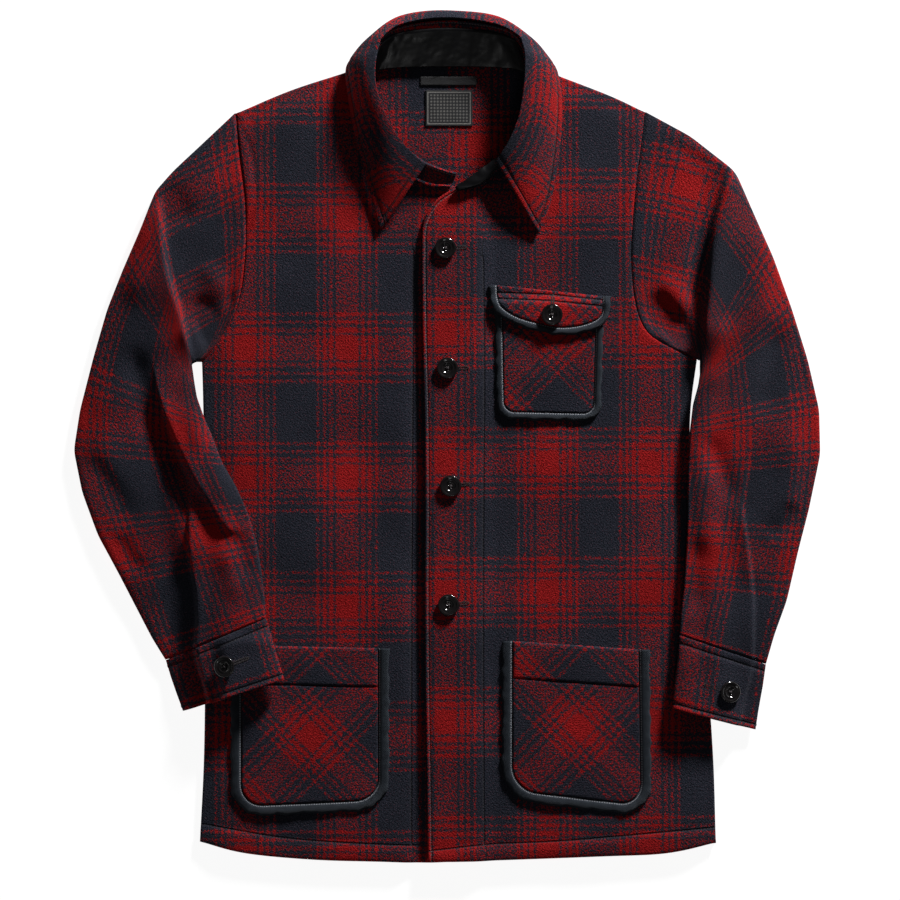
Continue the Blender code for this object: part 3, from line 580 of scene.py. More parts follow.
# %% [markdown]
# ## Sleeves and cuffs
#
# Each sleeve is lofted through its rings, with more columns beside the lengthwise fold, so that
# the fold stays sharp. The creases that a bent arm leaves in heavy wool are then drawn one by one:
# each is a line with a height and a width, a ridge where the height is above 0 and a trough where
# it is below. A fold line lifts the cloth on its left side and drops it on its right, and its
# numbers say how high the step is, how far it reaches and over what width it turns.

# %% Loft a sleeve
COLUMNS_EACH = 34
COLUMNS_FOLD = 9
SLEEVE_SPACING = 3.0
ROOM_FOR_WALLS = 5.4
FOLD_HALF = 5.0
FOLD_REACH = 32.0
FOLD_SHARP = 1.8
SLEEVE_SOFTEN = 3
SLEEVE_WAVE = 0.7
SLEEVE_WALL = 2.2
CUFF_WALL = 3.2
CUFF_SPACING = 1.8
CUFF_EDGE_LINE = 4.5
CUFF_TOP_LINE = 7.0
SLIP_START = 95.0
SLIP_LENGTH = 220.0


def resampled(table, spacing, soften=3):
    """Rings at an even spacing, with their values smoothed along the sleeve."""
    rows = np.asarray(table, float)
    middle = (rows[:, :2] + rows[:, 2:4]) / 2
    outer = np.linalg.norm(np.diff(rows[:, :2], axis=0), axis=1)
    inner = np.linalg.norm(np.diff(middle, axis=0), axis=1)
    lengths = np.concatenate([[0], np.cumsum((outer + inner) / 2)])
    count = int(lengths[-1] / spacing) + 1
    at = np.linspace(0, lengths[-1], count)
    values = np.stack([np.interp(at, lengths, rows[:, k]) for k in range(rows.shape[1])], axis=1)
    for _ in range(soften):
        padded = np.vstack([2 * values[0] - values[1], values, 2 * values[-1] - values[-2]])
        values = 0.25 * padded[:-2] + 0.5 * padded[1:-1] + 0.25 * padded[2:]
    return values, at


def tube_of(table, armhole, spacing, soften):
    """Upper points, lower points and grain of a flat tube through a table of rings."""
    values, at = resampled(table, spacing, soften)
    curve = drawn(armhole[::-1])
    s = np.linspace(0, 1, COLUMNS_EACH)
    outer_part = 1 - np.cos(s * math.pi / 2)
    inner_part = 1 - outer_part[::-1]
    rings = []
    for row in values:
        width = np.linalg.norm(row[0:2] - row[2:4])
        fold, half = row[5], FOLD_HALF / width
        place = np.concatenate([outer_part * (fold - half),
                                np.linspace(fold - half, fold + half, COLUMNS_FOLD + 2)[1:-1],
                                fold + half + inner_part * (1 - fold - half)])
        line = row[0:2] + (row[2:4] - row[0:2]) * place[:, None]
        chord = curve[0] + (curve[-1] - curve[0]) * place[:, None]
        flat = line + row[4] * (by_length(curve, place) - chord)
        away = (place - fold) * width
        blunt = np.sqrt(np.clip(4 * place * (1 - place), 0, 1)) ** 0.75
        thick = row[8] + (row[9] - row[8]) * place
        side = np.tanh(away / FOLD_SHARP)
        lift = np.where(away < 0, 0.65 * row[7], -0.55 * row[7]) * np.abs(side)
        relief = row[6] * lift * np.exp(-np.abs(away) / FOLD_REACH) * blunt
        rings.append(np.column_stack([flat, thick, blunt, relief, place * width]))
    grid = np.array(rings)
    base = ground(grid[..., 0], grid[..., 1])
    upper = np.dstack([grid[..., :2], base + grid[..., 2] * (0.5 + 0.5 * grid[..., 3])])
    upper[..., 2] += grid[..., 4]
    lower = np.dstack([grid[..., :2], base + grid[..., 2] * (0.5 - 0.5 * grid[..., 3])])
    run = np.broadcast_to(at[:, None], grid.shape[:2])
    centre = grid[..., 5] - grid[:, -1:, 5] * 0.5
    return upper, lower, np.dstack([centre, -run])


def creased(grid, creases):
    """The height that a list of creases adds at each point."""
    added = np.zeros(grid.shape[:2])
    for height, width, line in creases:
        drawn_line = drawn(line)
        distance, run = line_distance(grid, drawn_line)
        whole = length_of(drawn_line)
        taper = smooth_step(np.minimum(run, whole - run) / (0.3 * whole))
        added += height * np.exp(-(distance / width) ** 2) * taper
    return added


def folded(grid, folds):
    """A fold line: the cloth on its left stands up, the cloth on its right lies low."""
    added = np.zeros(grid.shape[:2])
    for height, reach, sharp, line in folds:
        drawn_line = drawn(line)
        distance, run = line_distance(grid, drawn_line, 4.0)
        whole = length_of(drawn_line)
        taper = smooth_step(np.minimum(run, whole - run) / (0.18 * whole))
        side = np.tanh(distance / sharp)
        up = np.where(distance > 0, 0.45, 0.55) * side
        added += height * up * np.exp(-np.abs(distance) / reach) * taper
    return added


def limited(upper, lower, room):
    """The upper cloth, held off the lower one so that both walls have room."""
    least = np.minimum(room, ROOM_FOR_WALLS)
    over = upper[..., 2] - lower[..., 2] - least
    return np.dstack([upper[..., :2], lower[..., 2] + least + np.logaddexp(0, 1.2 * over) / 1.2])


def relieved(upper, lower, grain, relief):
    """Adds relief to the upper cloth, fading out at both edges and at the armhole."""
    share = np.linspace(0, 1, upper.shape[1])
    inside = smooth_step(np.minimum(share, 1 - share) / 0.08)
    start = smooth_step(-grain[..., 1] / 18)
    room = upper[..., 2] - lower[..., 2]
    changed = upper.copy()
    changed[..., 2] += relief * inside[None, :] * start
    return limited(changed, lower, room)


def led_under(upper, lower, grain, toward):
    """Leads the top of a sleeve in between the front and the back, where its seam is."""
    along = np.gradient(upper[0, :, :2], axis=0)
    way = np.stack([along[:, 1], -along[:, 0]], axis=1)
    way *= (toward * np.sign(way[:, 0]) / np.linalg.norm(way, axis=1))[:, None]
    above, below, flats = [upper], [lower], [grain]
    for reach in (1.1, 3.4):
        flat = upper[0, :, :2] + way * reach
        low = np.full(len(flat), WALL + 0.2)
        high = np.maximum(body_rise(flat[:, 0], flat[:, 1]) - 0.2, low + 0.05)
        above.insert(0, np.column_stack([flat, high])[None])
        below.insert(0, np.column_stack([flat, low])[None])
        flats.insert(0, grain[:1] + np.array([0, reach]))
    return np.concatenate(above), np.concatenate(below), np.concatenate(flats)


def led_into(upper, lower, grain, wall):
    """Leads the end of a sleeve into its cuff, whose wall is given."""
    centre = (upper[-1, 0, :2] + upper[-1, -1, :2]) / 2
    width = np.linalg.norm(upper[-1, 0, :2] - upper[-1, -1, :2])
    way = (upper[-1, :, :2] - upper[-2, :, :2]).mean(axis=0)
    way /= np.linalg.norm(way)
    middle = (upper[-1, :, 2] + lower[-1, :, 2]) / 2
    half = (upper[-1, :, 2] - lower[-1, :, 2]) / 2
    half = np.maximum(half - wall - 0.4, 0.25 * half)
    above, below, flats = [upper], [lower], [grain]
    for reach in (0.4, 5.0):
        flat = centre + (upper[-1, :, :2] - centre) * (1 - 2 * (wall + 0.5) / width) + way * reach
        above.append(np.column_stack([flat, middle + half])[None])
        below.append(np.column_stack([flat, middle - half])[None])
        flats.append(grain[-1:] - np.array([0, reach]))
    return np.concatenate(above), np.concatenate(below), np.concatenate(flats)


def closed_tube(name, upper, lower, grain, thickness, lines=()):
    """A tube of cloth from its upper and lower points, with its wall inside."""
    outside = np.concatenate([upper, lower[:, -2:0:-1]], axis=1)
    room = upper[..., 2] - lower[..., 2]
    last = room.shape[1] - 1
    near = [room[:, np.clip(np.arange(last + 1) + k, 0, last)] for k in range(-3, 4)]
    wall = np.minimum(thickness, 0.45 * np.maximum.reduce(near))
    wall = np.concatenate([wall, wall[:, -2:0:-1]], axis=1)[..., None]
    inside = outside - grid_normals(outside, wrap=True) * wall
    centre = (upper + lower).mean(axis=1, keepdims=True) / 2
    if np.sum((inside - outside) * (centre - outside)) < 0:
        inside = 2 * outside - inside
    both = [(np.concatenate([d, d[:, -2:0:-1] + 1000.0], axis=1),
             np.concatenate([r, r[:, -2:0:-1]], axis=1)) for d, r in lines]
    flat = np.concatenate([grain, grain[:, -2:0:-1]], axis=1)
    return cloth(name, outside, inside, flat, both, wrap=True)


def make_sleeve(name, table, armhole, creases, folds, seed, toward, slip, shift):
    """A sleeve whose top is under the front and whose end is in the cuff."""
    upper, lower, grain = tube_of(table, armhole, SLEEVE_SPACING, SLEEVE_SOFTEN)
    relief = creased(upper, creases) + folded(upper, folds) + SLEEVE_WAVE * ripple(upper, 32, seed)
    upper = relieved(upper, lower, grain, relief)
    slipped = slip * smooth_step((-grain[..., 1] - SLIP_START) / SLIP_LENGTH)
    grain = grain + np.dstack([0 * slipped, slipped])
    upper, lower, grain = led_under(upper, lower, grain, toward)
    upper, lower, grain = led_into(upper, lower, grain, CUFF_WALL)
    closed_tube(name, upper, lower, grain + np.array(shift), SLEEVE_WALL)


def make_cuff(name, table, armhole, shift):
    """A cuff, with the lines of stitches at its mouth and its seam pressed in."""
    upper, lower, grain = tube_of(table, armhole, CUFF_SPACING, 0)
    mouth = grain[..., 1] - grain[-1, 0, 1] - CUFF_EDGE_LINE
    seam = -grain[..., 1] - CUFF_TOP_LINE
    upper[..., 2] += groove(mouth, 0.9, 1.6) + groove(seam, 1.0, 1.5) + 0.4 * ripple(upper, 16, 6)
    lines = [(mouth, grain[..., 0]), (seam, grain[..., 0])]
    closed_tube(name, upper, lower, grain + np.array(shift), CUFF_WALL, lines)


# %% Creases and folds of the right sleeve
RIGHT_FOLDS = [
    (12.0, 24, 2.0, [(-243, 72), (-255, 119), (-269, 168), (-276, 238)]),
    (-12.0, 16, 4.0, [(-194, -88), (-213, -88), (-236, -55), (-255, -20), (-272, 20), (-276, 46)]),
]
RIGHT_CREASES = [
    (-3.5, 14, [(-271, 245), (-262, 225), (-250, 200)]),
    (2.4, 11, [(-284, 215), (-296, 160), (-305, 120)]),
    (-8.0, 10, [(-250, 134), (-236, 122), (-224, 100), (-222, 84)]),
    (-4.0, 6, [(-209, 150), (-206, 124), (-214, 98), (-226, 82)]),
    (3.4, 9, [(-254, 112), (-240, 90), (-236, 60)]),
    (2.6, 10, [(-240, 170), (-222, 150), (-212, 130)]),
    (-3.6, 12, [(-304, 96), (-292, 40), (-280, -10)]),
    (3.4, 12, [(-246, 34), (-232, -12), (-216, -50), (-202, -78)]),
    (2.6, 16, [(-320, 60), (-330, 0), (-318, -60)]),
    (-2.6, 12, [(-345, -10), (-322, -50), (-300, -90)]),
    (2.6, 12, [(-268, -40), (-256, -84), (-250, -130)]),
    (-2.8, 10, [(-203, -85), (-196, -110), (-192, -140)]),
    (2.4, 10, [(-214, -100), (-206, -130), (-203, -160)]),
    (-2.2, 9, [(-322, -90), (-304, -118), (-284, -132)]),
]
RIGHT_SLIP = 32.0

# %% Right sleeve and cuff
make_sleeve("sleeve_right", SLEEVE_RIGHT, ARMHOLE_RIGHT, RIGHT_CREASES, RIGHT_FOLDS, 21, 1,
            RIGHT_SLIP, [18, 53])
make_cuff("cuff_right", CUFF_RIGHT, ARMHOLE_RIGHT, [-18, 15])

# %% Creases and folds of the left sleeve
LEFT_FOLDS = [
    (-15.0, 22, 2.4, [(242, 76), (247, 135), (253, 198), (267, 250), (276, 272)]),
]
LEFT_CREASES = [
    (-4.0, 11, [(212, 292), (234, 280), (256, 262)]),
    (-5.5, 9, [(237, 100), (242, 180), (255, 240), (262, 262)]),
    (2.4, 16, [(290, 215), (300, 150), (298, 90)]),
    (-8.0, 12, [(190, 138), (205, 118), (222, 100), (238, 84)]),
    (3.2, 10, [(200, 158), (220, 136), (238, 118)]),
    (2.6, 9, [(196, 108), (214, 92), (232, 76)]),
    (3.0, 12, [(266, 120), (256, 80), (250, 40)]),
    (-3.4, 13, [(318, 120), (312, 60), (300, 10)]),
    (-3.2, 10, [(246, 10), (262, -30), (276, -70)]),
    (2.8, 11, [(256, -20), (250, -70), (252, -120)]),
    (2.4, 14, [(330, 20), (332, -40), (322, -90)]),
    (-2.4, 10, [(240, -90), (238, -140), (236, -175)]),
    (2.4, 9, [(284, -60), (290, -104), (293, -150)]),
    (-2.2, 9, [(334, -60), (320, -84), (304, -96)]),
]

# %% Left sleeve and cuff
make_sleeve("sleeve_left", SLEEVE_LEFT, ARMHOLE_LEFT, LEFT_CREASES, LEFT_FOLDS, 34, -1,
            0.0, [17, -18])
make_cuff("cuff_left", CUFF_LEFT, ARMHOLE_LEFT, [17, 26])

# %% [markdown]
# ## Collar
#
# The stand is a band that stands up from the neck seam, lined with glossy satin inside. The leaf
# is sewn to its top, rolls over it and lies on the fronts in two points. Each section of the leaf
# is a curve from the roll over a bend to the free edge, and the rows of the table lead it round.

# %% Collar stand and leaf
COLLAR_WALL = 3.4
STAND_WALL = 3.0
STAND_TOP_LINE = 2.0
LEAF_LINE = 6.0


def lofted(table, columns_each, rows, blend):
    """A grid whose columns follow a table round the neck and whose rows go across it."""
    places = np.linspace(0, len(table) - 1, columns_each * (len(table) - 1) + 1)
    values = through(table, places)
    t = rows[:, None, None]
    points = [values[None, :, k:k + 3] for k in range(0, values.shape[1], 3)]
    return blend(points, t)


def straight(points, t):
    return points[0] * (1 - t) + points[1] * t


def bent(points, t):
    roll, bend, free = points
    return (roll * (1 - t) + bend * t) * (1 - t) + (bend * (1 - t) + free * t) * t


def running(grid, axis):
    steps = np.linalg.norm(np.diff(grid, axis=axis), axis=-1)
    pad = [(0, 0), (0, 0)]
    pad[axis] = (1, 0)
    return np.cumsum(np.pad(steps, pad), axis=axis)


def thickened(grid, thickness, edge):
    """The other face of a sheet whose given face is outside, thinner towards its edges."""
    return grid + grid_normals(grid) * (thickness * rolled_edge(edge))[..., None]


rows = edged_shares(26.0, 2.2)
stand_in = lofted(STAND, 8, rows, straight)
across, round_neck = running(stand_in, 0), running(stand_in, 1)
edge = np.minimum(across[-1:] - across, np.minimum(round_neck, round_neck[:, -1:] - round_neck))
stand_out = thickened(stand_in, -STAND_WALL, edge)
top_line = across[-1:] - across - STAND_TOP_LINE
NO_LINE = (np.full(across.shape, 1000.0), np.zeros(across.shape))
cloth("collar_stand", stand_in, stand_out, np.dstack([round_neck + 30, across]),
      [NO_LINE, NO_LINE, (top_line, round_neck)])

leaf_rows = edged_shares(70.0, 2.6)
leaf = lofted(LEAF, 8, leaf_rows, bent)
across, round_neck = running(leaf, 0), running(leaf, 1)
to_edge = across[-1:] - across
front_edge = np.minimum(round_neck, round_neck[:, -1:] - round_neck)
edge = np.minimum(np.minimum(to_edge, across), front_edge)
outside = leaf.copy()
seam = groove(np.minimum(to_edge, front_edge) - LEAF_LINE, 0.5, 1.6)
outside += grid_normals(leaf) * (seam + 0.25 * ripple(leaf, 30, 5))[..., None]
inside_leaf = leaf - grid_normals(leaf) * (COLLAR_WALL * rolled_edge(edge))[..., None]
whole_round = round_neck - round_neck[:, -1:] / 2
cloth("collar_leaf", outside, inside_leaf, np.dstack([whole_round, across + 20]),
      [(to_edge - LEAF_LINE, round_neck), (front_edge - LEAF_LINE, across)])

# %% [markdown]
# The satin lining has short creases across it, where it was eased onto the curved stand. Satin is
# so smooth that they are seen mainly in its highlights.

# %% Neck lining
LINING_START = 32
LINING_GAP = 0.5
part = stand_in[:-4, LINING_START:]
normal = grid_normals(part)
normal *= np.sign(np.sum(normal * (stand_in - stand_out)[:-4, LINING_START:]))
across, round_neck = running(part, 0), running(part, 1)
puckers = np.sin(round_neck / 2.3 + 2 * np.sin(round_neck / 13))
puckers = puckers * np.sin(across / 6 + round_neck / 17)
lining_under = part + normal * LINING_GAP
lining_over = lining_under + normal * (0.9 + 0.5 * puckers)[..., None]
cloth("neck_lining", lining_over, lining_under, np.dstack([round_neck, across]))

# %% [markdown]
# ## Pockets and their bindings
#
# A patch pocket of thick wool would fray, so its edge is bound: a twill tape is folded over it and
# stitched along its inner edge. The pocket is cut on the bias, so its plaid runs at 45 degrees.

# %% Paths of the pockets
STITCHED_AT = 0.86


def pocket_path(corners, radius):
    """The drawn U of a pocket's edge, from its top left down and round to its top right."""
    corners = np.array(corners, float)
    width = np.linalg.norm(corners[1] - corners[0])
    height = np.linalg.norm(corners[3] - corners[0])
    turn = np.linspace(0, math.pi / 2, 16)
    first = np.stack([radius - radius * np.cos(turn), radius - radius * np.sin(turn)], axis=1)
    second = first[::-1] * [-1, 1] + [width, 0]
    local = np.vstack([[(0.0, height)], first, second, [(width, height)]])
    s, t = local[:, :1] / width, local[:, 1:] / height
    low = corners[0] + (corners[1] - corners[0]) * s
    high = corners[3] + (corners[2] - corners[3]) * s
    return by_length(low + (high - low) * t, np.linspace(0, 1, 241))


def beside(line, distance):
    """A line beside another, to the left of its direction."""
    way = np.gradient(line, axis=0)
    way /= np.linalg.norm(way, axis=1, keepdims=True)
    return line + distance * np.stack([-way[:, 1], way[:, 0]], axis=1)


def u_patch(line, side_share, cell=3.0):
    """A grid inside a U-shaped line."""
    cut = int(side_share * (len(line) - 1))
    left, right, bottom = line[:cut + 1][::-1], line[-cut - 1:], line[cut:len(line) - cut]
    top = line[0] + (line[-1] - line[0]) * np.linspace(0, 1, 30)[:, None]
    return patch(bottom, right, top, left, cell)


def front_top(grid, side):
    lift = overlap_lift(grid[..., 0]) if side == "left" else 0.0
    return body_rise(grid[..., 0], grid[..., 1]) + lift + WALL + GAP


def edge_of_grid(grid):
    outline = np.vstack([grid[0], grid[1:, -1], grid[-1, -2::-1], grid[-2::-1, 0]])
    return np.abs(line_distance(grid, outline[..., :2], 3.0)[0])


def puff(grid, height):
    """A low dome over a grid, 0 at its edges."""
    u, v = np.meshgrid(np.linspace(0, 1, grid.shape[1]), np.linspace(0, 1, grid.shape[0]))
    return height * np.sqrt(np.clip(np.sin(math.pi * u) * np.sin(math.pi * v), 0, 1))


def make_binding(name, outer, width, base, seed):
    """A folded tape along a line: a soft roll with a slightly puckered outer edge."""
    count = int(length_of(outer) / 1.6)
    path = by_length(outer, np.linspace(0, 1, count))
    run = np.linspace(0, length_of(outer), count)
    wobble = 0.6 * np.sin(run / 4.1 + 1.7 * np.sin(run / 17 + seed)) + 0.3 * np.sin(run / 1.9 + seed)
    inner = beside(path, width)
    rows = []
    for share in np.linspace(0, 1, 11):
        line = path + (inner - path) * share
        fade = (1 - share) ** 2
        line = line + (path - inner) / width * (wobble * fade)[:, None]
        arch = math.sqrt(1 - (1 - 2 * share) ** 2) ** 0.8
        height = 0.5 + 2.9 * arch + 0.22 * wobble * (1 - share)
        height = height - 0.5 * math.exp(-((share - 0.84) / 0.07) ** 2)
        floor = base(line)
        rows.append(np.column_stack([line, floor, floor + height]))
    strip = np.array(rows)
    across = np.linspace(0, width, len(rows))[:, None] * np.ones(count)
    grain = np.dstack([np.broadcast_to(run, across.shape), across])
    cloth(name, strip[..., [0, 1, 3]], strip[..., :3], grain,
          [(across - STITCHED_AT * width, grain[..., 0])])


# %% Hip pockets
BAND_SEAM = 0.6
for side, corners, seed, shift in (("right", HIP_POCKET_RIGHT, 2, (119, 226)),
                                   ("left", HIP_POCKET_LEFT, 5, (-96, 291))):
    outer = pocket_path(corners, HIP_CORNER)
    make_binding(f"hip_binding_{side}", outer, HIP_BINDING,
                 lambda line, side=side: front_top(line, side), seed)
    inner = beside(outer, HIP_BINDING + GAP)
    total = len(inner) - 1
    cut = int(HIP_BAND_SHARE * total)
    body = inner[cut:total - cut + 1]
    grid = u_patch(body, 0.27)
    top, bottom = on_base(grid, front_top(grid, side), WALL, edge_of_grid(grid) + 0.8)
    top[..., 2] += puff(grid, 1.0) + 0.3 * ripple(grid, 30, seed)
    cloth(f"hip_pocket_{side}", top, bottom, turned(grid, 45, shift))

    left, right = inner[:cut + 1][::-1], inner[total - cut:]
    left, right = left + [0, GAP], right + [0, GAP]
    low = left[0] + (right[0] - left[0]) * np.linspace(0, 1, 20)[:, None]
    high = left[-1] + (right[-1] - left[-1]) * np.linspace(0, 1, 20)[:, None]
    grid = patch(low, right, high, left, 2.6)
    top, bottom = on_base(grid, front_top(grid, side), WALL, edge_of_grid(grid))
    top[..., 2] += puff(grid, 0.9) + BAND_SEAM + 0.25 * ripple(grid, 20, seed + 1)
    cloth(f"hip_band_{side}", top, bottom, turned(grid, 45, (shift[0] + 21, shift[1] - 40)))

# %% Chest pocket and flap
outer = pocket_path(CHEST_POCKET, CHEST_CORNER)
make_binding("chest_binding", outer, CHEST_BINDING, lambda line: front_top(line, "left"), 3)
grid = u_patch(beside(outer, CHEST_BINDING + GAP), 0.30)
top, bottom = on_base(grid, front_top(grid, "left"), WALL, edge_of_grid(grid) + 0.8)
top[..., 2] += puff(grid, 0.5) + 0.25 * ripple(grid, 25, 12)
cloth("chest_pocket", top, bottom, turned(grid, 45, (112, 26)))


def flap_base(line):
    rise = FLAP_LIFT * smooth_step((FLAP_SEAM_Y - line[..., 1]) / FLAP_RISE)
    return front_top(line, "left") + rise


edge_line = by_length(drawn(FLAP_EDGE), np.linspace(0, 1, 241))
make_binding("flap_binding", edge_line, CHEST_BINDING, flap_base, 7)
inner = beside(edge_line, CHEST_BINDING + GAP)
grid = u_patch(inner, 0.18, 2.2)
top, bottom = on_base(grid, flap_base(grid), WALL, edge_of_grid(grid) + 0.5)
seam_line = np.array([(40, 139.5), (100, 137), (157, 131)], float)
upper_seam = line_distance(grid, seam_line, 4.0)
lower_seam = line_distance(grid, seam_line - [0, 6.0], 4.0)
top[..., 2] += groove(upper_seam[0], 0.9, 1.2) + groove(lower_seam[0], 0.9, 1.4)
top[..., 2] += puff(grid, 0.6)
cloth("flap", top, bottom, turned(grid, 45, (113, 44)), [upper_seam, lower_seam])

# %% [markdown]
# ## Labels
#
# A woven tape and a patch are sewn inside the neck. They carry no words: the tape is bare and the
# patch has a plain frame and a lattice.

# %% Neck labels
NARROW_TAPE = 12.0

for name, left, bottom_edge, right, top_edge in LABELS:
    u = edged_shares(right - left, 2.0)
    depth = top_edge - bottom_edge
    v = edged_shares(depth, 2.0) if depth > NARROW_TAPE else np.linspace(0, 1, 9)
    x, y = np.meshgrid(left + (right - left) * u, bottom_edge + depth * v)
    grid = np.dstack([x, y])
    base = np.full(x.shape, WALL + GAP)
    top = np.dstack([grid, base + 0.8 + 0.12 * ripple(grid, 9, 4)])
    centre = np.array([left + right, bottom_edge + top_edge]) / 2
    cloth(name, top, np.dstack([grid, base]), grid - centre)

# %% [markdown]
# ## Buttons
#
# The buttons are turned from one dark, polished blank: a dished face with a raised ring, a rounded
# rim and four holes. One is modelled by spinning its half section, its holes are cut, and the
# others are copies, each laid on its own cloth with the tilt of that cloth.

# %% Turn one button
SECTION = [(0.0, 2.0), (3.4, 2.0), (4.3, 2.2), (4.9, 3.0), (5.6, 3.3), (6.3, 2.9), (7.0, 2.9),
           (8.0, 3.6), (9.0, 4.0), (9.8, 3.7), (10.2, 3.0), (10.3, 2.2), (9.6, 0.9), (8.0, 0.1),
           (0.0, 0.0)]
HOLE_RADIUS = 0.95
HOLE_OFFSET = 1.55
SPIN_STEPS = 48


def deselect_all():
    if bpy.context.mode != "OBJECT":
        bpy.ops.object.mode_set(mode="OBJECT")
    bpy.ops.object.select_all(action="DESELECT")


def apply_modifier(made, name):
    deselect_all()
    made.select_set(True)
    bpy.context.view_layer.objects.active = made
    bpy.ops.object.modifier_apply(modifier=name)


deselect_all()
bpy.ops.mesh.primitive_circle_add(vertices=3, radius=0.001)
blank = bpy.context.object
blank.name = "button_blank"
blank.data.clear_geometry()
blank.data.from_pydata([(r * MM, 0, z * MM) for r, z in SECTION],
                       [(k, k + 1) for k in range(len(SECTION) - 1)], [])
bpy.ops.object.mode_set(mode="EDIT")
bpy.ops.mesh.select_all(action="SELECT")
bpy.ops.mesh.spin(steps=SPIN_STEPS, angle=math.tau, center=(0, 0, 0), axis=(0, 0, 1))
bpy.ops.mesh.select_all(action="SELECT")
bpy.ops.mesh.remove_doubles(threshold=0.00002)
bpy.ops.mesh.normals_make_consistent(inside=False)
bpy.ops.object.mode_set(mode="OBJECT")
for k in range(4):
    angle = math.pi / 4 + k * math.pi / 2
    deselect_all()
    bpy.ops.mesh.primitive_cylinder_add(
        vertices=16, radius=HOLE_RADIUS * MM, depth=0.02,
        location=(HOLE_OFFSET * MM * math.cos(angle), HOLE_OFFSET * MM * math.sin(angle), 0))
    drill = bpy.context.object
    cut = blank.modifiers.new("hole", "BOOLEAN")
    cut.operation = "DIFFERENCE"
    cut.solver = "EXACT"
    cut.object = drill
    apply_modifier(blank, "hole")
    bpy.data.objects.remove(drill)
blank.data.shade_smooth()
print("button:", len(blank.data.polygons), "faces")

# %% Thread of a button
THREAD_SPREAD = 0.72
STRAND_APART = 0.28
STRAND_RADIUS = 0.3


def skinned(mesh, rings):
    """Puts faces between rings of points, and over both ends."""
    sides = len(rings[0])
    for a, b in zip(rings, rings[1:]):
        for s in range(sides):
            mesh.faces.new((a[s], a[(s + 1) % sides], b[(s + 1) % sides], b[s]))
    mesh.faces.new(rings[0][::-1])
    mesh.faces.new(rings[-1])


def object_of(name, mesh):
    """Makes an object of a finished bmesh and frees it."""
    bmesh.ops.recalc_face_normals(mesh, faces=mesh.faces)
    made = bpy.data.objects.new(name, bpy.data.meshes.new(name))
    mesh.to_mesh(made.data)
    mesh.free()
    bpy.context.scene.collection.objects.link(made)
    return made


def thread_run(name, points, radius, sides=6):
    """A closed little tube along a few points, given in millimetres."""
    line = through(np.array(points, float), np.linspace(0, len(points) - 1, 4 * len(points)))
    mesh = bmesh.new()
    rings = []
    for k, point in enumerate(line):
        way = Vector(line[min(k + 1, len(line) - 1)] - line[max(k - 1, 0)]).normalized()
        side = way.orthogonal().normalized()
        other = way.cross(side)
        ring = []
        for s in range(sides):
            turn = math.tau * s / sides
            spot = Vector(point) + radius * (side * math.cos(turn) + other * math.sin(turn))
            ring.append(mesh.verts.new(spot * MM))
        rings.append(ring)
    skinned(mesh, rings)
    made = object_of(name, mesh)
    made.data.shade_smooth()
    return made


def joined_pieces(name, objects):
    deselect_all()
    for made in objects:
        made.select_set(True)
    bpy.context.view_layer.objects.active = objects[0]
    bpy.ops.object.join()
    objects[0].name = name
    return objects[0]


corner = HOLE_OFFSET * THREAD_SPREAD
crossings = [((-corner, -corner), (corner, corner)), ((-corner, corner), (corner, -corner))]
strands = []
for k, (a, b) in enumerate(crossings):
    run = np.array([b[0] - a[0], b[1] - a[1]])
    beside_run = np.array([-run[1], run[0]]) / np.linalg.norm(run)
    for shift in (-STRAND_APART, STRAND_APART):
        n = beside_run * shift
        top_z = 2.6 + 0.5 * k
        strands.append(thread_run("strand", [
            (a[0] + n[0], a[1] + n[1], 1.2), (a[0] * 0.9 + n[0], a[1] * 0.9 + n[1], 2.1),
            (n[0], n[1], top_z), (b[0] * 0.9 + n[0], b[1] * 0.9 + n[1], 2.1),
            (b[0] + n[0], b[1] + n[1], 1.2)], STRAND_RADIUS))
thread_blank = joined_pieces("thread_blank", strands)

# %% Lay the buttons on their cloth
BUTTON_REACH = 9.0


def copied(original, name):
    made = original.copy()
    made.data = original.data.copy()
    made.name = name
    bpy.context.scene.collection.objects.link(made)
    return made


for name, x, y, carrier in BUTTONS:
    tree = surface(carrier)
    r = BUTTON_REACH
    tilt_x = (height_over(tree, x + r, y) - height_over(tree, x - r, y)) / (2 * r)
    tilt_y = (height_over(tree, x, y + r) - height_over(tree, x, y - r)) / (2 * r)
    seat = 0.0
    for ring in (0.0, 0.6, 1.0):
        for k in range(8):
            dx, dy = ring * r * math.cos(k * math.pi / 4), ring * r * math.sin(k * math.pi / 4)
            seat = max(seat, height_over(tree, x + dx, y + dy) - tilt_x * dx - tilt_y * dy)
    place = (Vector((x, y, seat + 0.25)) - Vector(MIDDLE)) * MM
    turn = Vector((0, 0, 1)).rotation_difference(Vector((-tilt_x, -tilt_y, 1)).normalized())
    for original, made_name in ((blank, name), (thread_blank, name + "_thread")):
        made = copied(original, made_name)
        made.data.transform(Matrix.Translation(place) @ turn.to_matrix().to_4x4())
        pieces[made_name] = made
bpy.data.objects.remove(blank)
bpy.data.objects.remove(thread_blank)

# %% [markdown]
# ## Buttonholes
#
# A buttonhole is a slit whose edges are wrapped with dense stitches of thread. Each is a flat ring
# of small crosswise stitches round a dark slit, laid on the cloth beside its button.

